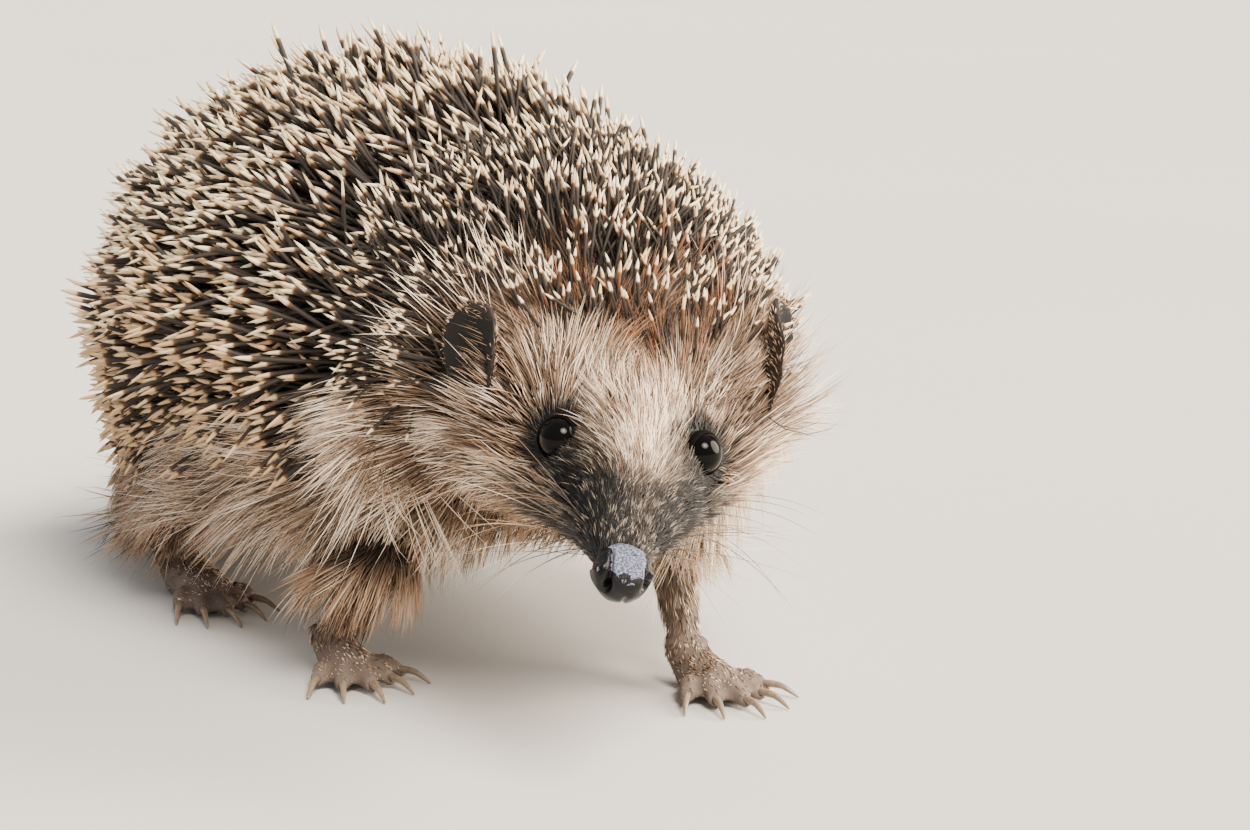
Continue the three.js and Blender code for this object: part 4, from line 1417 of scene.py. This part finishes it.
class HEDGEHOG_OT_body_hair(bpy.types.Operator):
    """Grow the long hair of neck, flanks and belly"""

    bl_idname = "hedgehog.body_hair"
    bl_label = "Body hair"

    def execute(self, context):
        settings = context.scene.hedgehog_hair
        material = hair_finish("long_hair", settings)
        skin = the_skin()
        place = skin.place
        ruff = skin.haired() * ramp_mm(place.reach, 52, 62)
        ruff = ruff * ramp_mm(place.reach, 112, 104)
        hem = skin.haired() * ramp_mm(place.reach, 100, 110)
        under = ramp(place.side, 134, 142)

        def length(place):
            """Longest on the flanks, and short below and over the legs."""
            long = table(place.reach, *BODY_LENGTHS)
            long = long * blend(1, 0.55, ramp(place.side, 128, 150))
            return long * blend(1, 0.5, by_leg(place))

        def lift(place):
            """Degrees between hair and skin: steeper on the rump and the neck's left side."""
            left_neck = ramp(place.girth, 40, 70) * ramp_mm(place.reach, 90, 70)
            return 11 + 10 * ramp_mm(place.reach, 165, 205) + 20 * left_neck

        def fall(place):
            """Steepest over the legs, on the neck and low on the flanks."""
            neck = ramp_mm(place.reach, 115, 85)
            return 0.3 + 0.5 * neck + 0.3 * ramp(place.side, 95, 130) + 1.5 * by_leg(place)

        combed = {"steps": 5, "fall": fall, "spread": 7, "waves": 6, "bend": 0.5}
        for side, sign in SIDES.items():
            own = place.girth * sign > 0
            grow(
                f"hair_ruff_{side}", "body_hair", material, settings, ruff * own, length, lift,
                count=4700, seed=41 + sign, droop=0.06, **combed,
            )
            hem_side = hem * own * (1 - under)
            grow(
                f"hair_hem_{side}", "body_hair", material, settings, hem_side, length, lift,
                count=4700, seed=51 + sign, droop=0.08, **combed,
            )
        belly = (hem + 0.5 * ruff) * under
        grow(
            "hair_belly", "body_hair", material, settings, belly, length, lift,
            count=3000, seed=57, steps=3, fall=fall, lock=(10, 0.4), thick=1.25,
        )
        return {"FINISHED"}


class HEDGEHOG_OT_long_hairs(bpy.types.Operator):
    """Grow the guard hairs round the ears, the whiskers and the down of the ears"""

    bl_idname = "hedgehog.long_hairs"
    bl_label = "Guard hairs and whiskers"

    def execute(self, context):
        settings = context.scene.hedgehog_hair
        material = hair_finish("guard_hair", settings)
        skin = the_skin()
        place = skin.place
        by_ear = ramp_mm(place.from_ear, 16, 12) * (1 - skin.ear)
        by_ear = by_ear * ramp_mm(place.ahead, -14, -18)
        grow(
            "hair_guard", "face_hair", material, settings, by_ear, length=15 * MM, lift=32,
            count=150, seed=71, steps=6, lock=(5, 0.2), spread=18, droop=0.1, pale=0.75,
        )
        lip = ramp_mm(place.reach, 7, 10) * ramp_mm(place.reach, 21, 17)
        lip = lip * ramp(place.side, 60, 75) * ramp(place.side, 125, 110)
        grow(
            "whiskers", "face_hair", material, settings, lip, length=27 * MM, lift=42,
            count=44, seed=73, steps=10, lock=(4, 0.0), spread=18, droop=0.6, thick=0.75,
            pale=0.3,
        )
        outside = skin.ear * (1 - skin.hollow)
        grow(
            "hair_ears", "ear_skin", material, settings, outside, length=1.5 * MM, lift=13,
            count=900, seed=75, steps=3, lock=(5, 0.2), spread=24, thick=0.7, pale=0.12,
        )
        return {"FINISHED"}


class HEDGEHOG_OT_leg_hair(bpy.types.Operator):
    """Grow the short hair of legs, feet and tail"""

    bl_idname = "hedgehog.leg_hair"
    bl_label = "Leg hair"

    def execute(self, context):
        settings = context.scene.hedgehog_hair
        skin = the_skin()
        height = skin.place.height
        toes = blend(0.25, 1.0, ramp_mm(height, 3, 6)) * ramp_mm(height, 1, 2)

        def downwards(place, outward, fall):
            """Down the leg and forward over the toes."""
            low = ramp_mm(place.height, 8, 4)[:, None]
            lie = blend(unit(-UP - 0.25 * BACKWARDS) + 0 * place.points, -BACKWARDS, low)
            return unit(lie - dot(lie, outward)[:, None] * outward)

        def length(place):
            """Longer the higher on the leg."""
            return table(place.height, *LEG_LENGTHS)

        material = hair_finish("leg_hair", settings)
        grow(
            "hair_legs", "leg_hair", material, settings, skin.leg * toes, length, lift=11,
            count=4600, seed=61, steps=3, lock=(6, 0.3), thick=0.8, pale=0.3, lie_of=downwards,
            unwrap=leg_map,
        )
        return {"FINISHED"}


# ---- Stage

IMAGE_WIDTH, IMAGE_HEIGHT = 1250, 830
EYES_PIXEL = (631, 446)  # where the middle of the eyes falls in the image
CLIP_START = 0.01
SENSOR = 36.0  # the width of the camera's sensor in millimetres
FLOOR_HALF = 30.0  # metres from the middle to each edge
FROM_ABOVE = (-0.05, -0.61, 0.79)
LIGHTS = (  # name, strength as a share of the key's, softness in degrees, the way to it, colour
    ("key", 1.0, 32, FROM_ABOVE, paint(255, 243, 226)),
    ("glint", 0.4, 15, FROM_ABOVE, paint(255, 246, 234)),
    ("rim", 1.9, 50, (0.81, -0.42, 0.41), paint(255, 240, 220)),
)


def face_towards(obj, position, target):
    """Puts a camera or light at position, level and facing target."""
    back = unit(position - target)
    right = unit(np.cross(UP, back))
    matrix = Matrix(np.column_stack([right, np.cross(back, right), back]).tolist()).to_4x4()
    matrix.translation = Vector(position)
    obj.matrix_world = matrix


def add_to_scene(context, name, data):
    """An object for a camera's or a light's data."""
    obj = bpy.data.objects.new(name, data)
    context.scene.collection.objects.link(obj)
    return obj


class HEDGEHOG_OT_stage(bpy.types.Operator):
    """Set up the camera, the floor and soft lights"""

    bl_idname = "hedgehog.stage"
    bl_label = "Stage"

    def execute(self, context):
        settings = context.scene.hedgehog_stage
        self.add_camera(context, settings)
        self.add_floor(settings)
        self.add_lights(context, settings)
        return {"FINISHED"}

    def add_camera(self, context, settings):
        """The camera looks at the eyes from its azimuth and elevation, and is aimed aside from
        them by their place in the image."""
        data = bpy.data.cameras.new("camera")
        data.lens = settings.lens
        data.sensor_width = SENSOR
        data.clip_start = CLIP_START
        camera = add_to_scene(context, "camera", data)
        context.scene.camera = camera
        level = cos(settings.elevation)
        away = np.array([sin(settings.azimuth), -cos(settings.azimuth), 0.0])
        back = level * away + sin(settings.elevation) * UP
        right = unit(np.cross(UP, back))
        pixel = settings.distance * SENSOR / settings.lens / IMAGE_WIDTH
        aim = EYES_MIDDLE - right * (EYES_PIXEL[0] - IMAGE_WIDTH / 2) * pixel
        aim = aim + np.cross(back, right) * (EYES_PIXEL[1] - IMAGE_HEIGHT / 2) * pixel
        face_towards(camera, EYES_MIDDLE + settings.distance * back, aim)

    def add_floor(self, settings):
        """A plain pale square."""
        corner = np.array([[-1, -1, 0], [1, -1, 0], [1, 1, 0], [-1, 1, 0]]) * FLOOR_HALF
        finish = Finish("floor_pale")
        cloud = finish.noise(0.4, 3.0)
        colour = finish.mix(tuple(settings.floor), paint(190, 188, 184), cloud)
        material = finish.surface(Base_Color=colour, Roughness=0.75)
        quad = [np.array([[0, 1, 2, 3]])]
        new_object("floor", corner, quad, [material], smooth=False)

    def add_lights(self, context, settings):
        """An even glow from all around, and the soft lights."""
        world = bpy.data.worlds.new("studio")
        context.scene.world = world
        world.use_nodes = True
        background = world.node_tree.nodes["Background"]
        background.inputs["Color"].default_value = (*paint(236, 240, 246), 1.0)
        background.inputs["Strength"].default_value = settings.fill
        for name, strength, softness, where, colour in LIGHTS:
            data = bpy.data.lights.new(name, "SUN")
            data.energy = settings.key * strength
            data.angle = radians(softness)
            data.color = colour
            face_towards(add_to_scene(context, name, data), np.array(where), np.zeros(3))


# ---- The add-on

GROUPS = {
    "hedgehog_skin": SkinSettings,
    "hedgehog_spines": SpineSettings,
    "hedgehog_hair": HairSettings,
    "hedgehog_stage": StageSettings,
}
OPERATORS = (
    HEDGEHOG_OT_stage,
    HEDGEHOG_OT_skin,
    HEDGEHOG_OT_eyes,
    HEDGEHOG_OT_nose,
    HEDGEHOG_OT_claws,
    HEDGEHOG_OT_spines,
    HEDGEHOG_OT_face_hair,
    HEDGEHOG_OT_body_hair,
    HEDGEHOG_OT_long_hairs,
    HEDGEHOG_OT_leg_hair,
)


class HEDGEHOG_PT_panel(bpy.types.Panel):
    """The settings of each group, and the operators in order"""

    bl_label = "Hedgehog"
    bl_idname = "HEDGEHOG_PT_panel"
    bl_space_type = "VIEW_3D"
    bl_region_type = "UI"
    bl_category = "Hedgehog"

    def draw(self, context):
        for name in GROUPS:
            box = self.layout.box()
            group = getattr(context.scene, name)
            for key in group.__annotations__:
                box.prop(group, key)
        for operator in OPERATORS:
            self.layout.operator(operator.bl_idname)


CLASSES = (*GROUPS.values(), *OPERATORS, HEDGEHOG_PT_panel)


def register():
    """Registers the classes and gives the scene its settings."""
    for cls in CLASSES:
        bpy.utils.register_class(cls)
    for name, group in GROUPS.items():
        setattr(bpy.types.Scene, name, PointerProperty(type=group))


def unregister():
    """Takes the settings and the classes away again."""
    for name in GROUPS:
        delattr(bpy.types.Scene, name)
    for cls in reversed(CLASSES):
        bpy.utils.unregister_class(cls)


def main():
    """Makes every piece in order."""
    register()
    for operator in OPERATORS:
        group, name = operator.bl_idname.split(".")
        getattr(getattr(bpy.ops, group), name)()


if __name__ == "__main__":
    main()
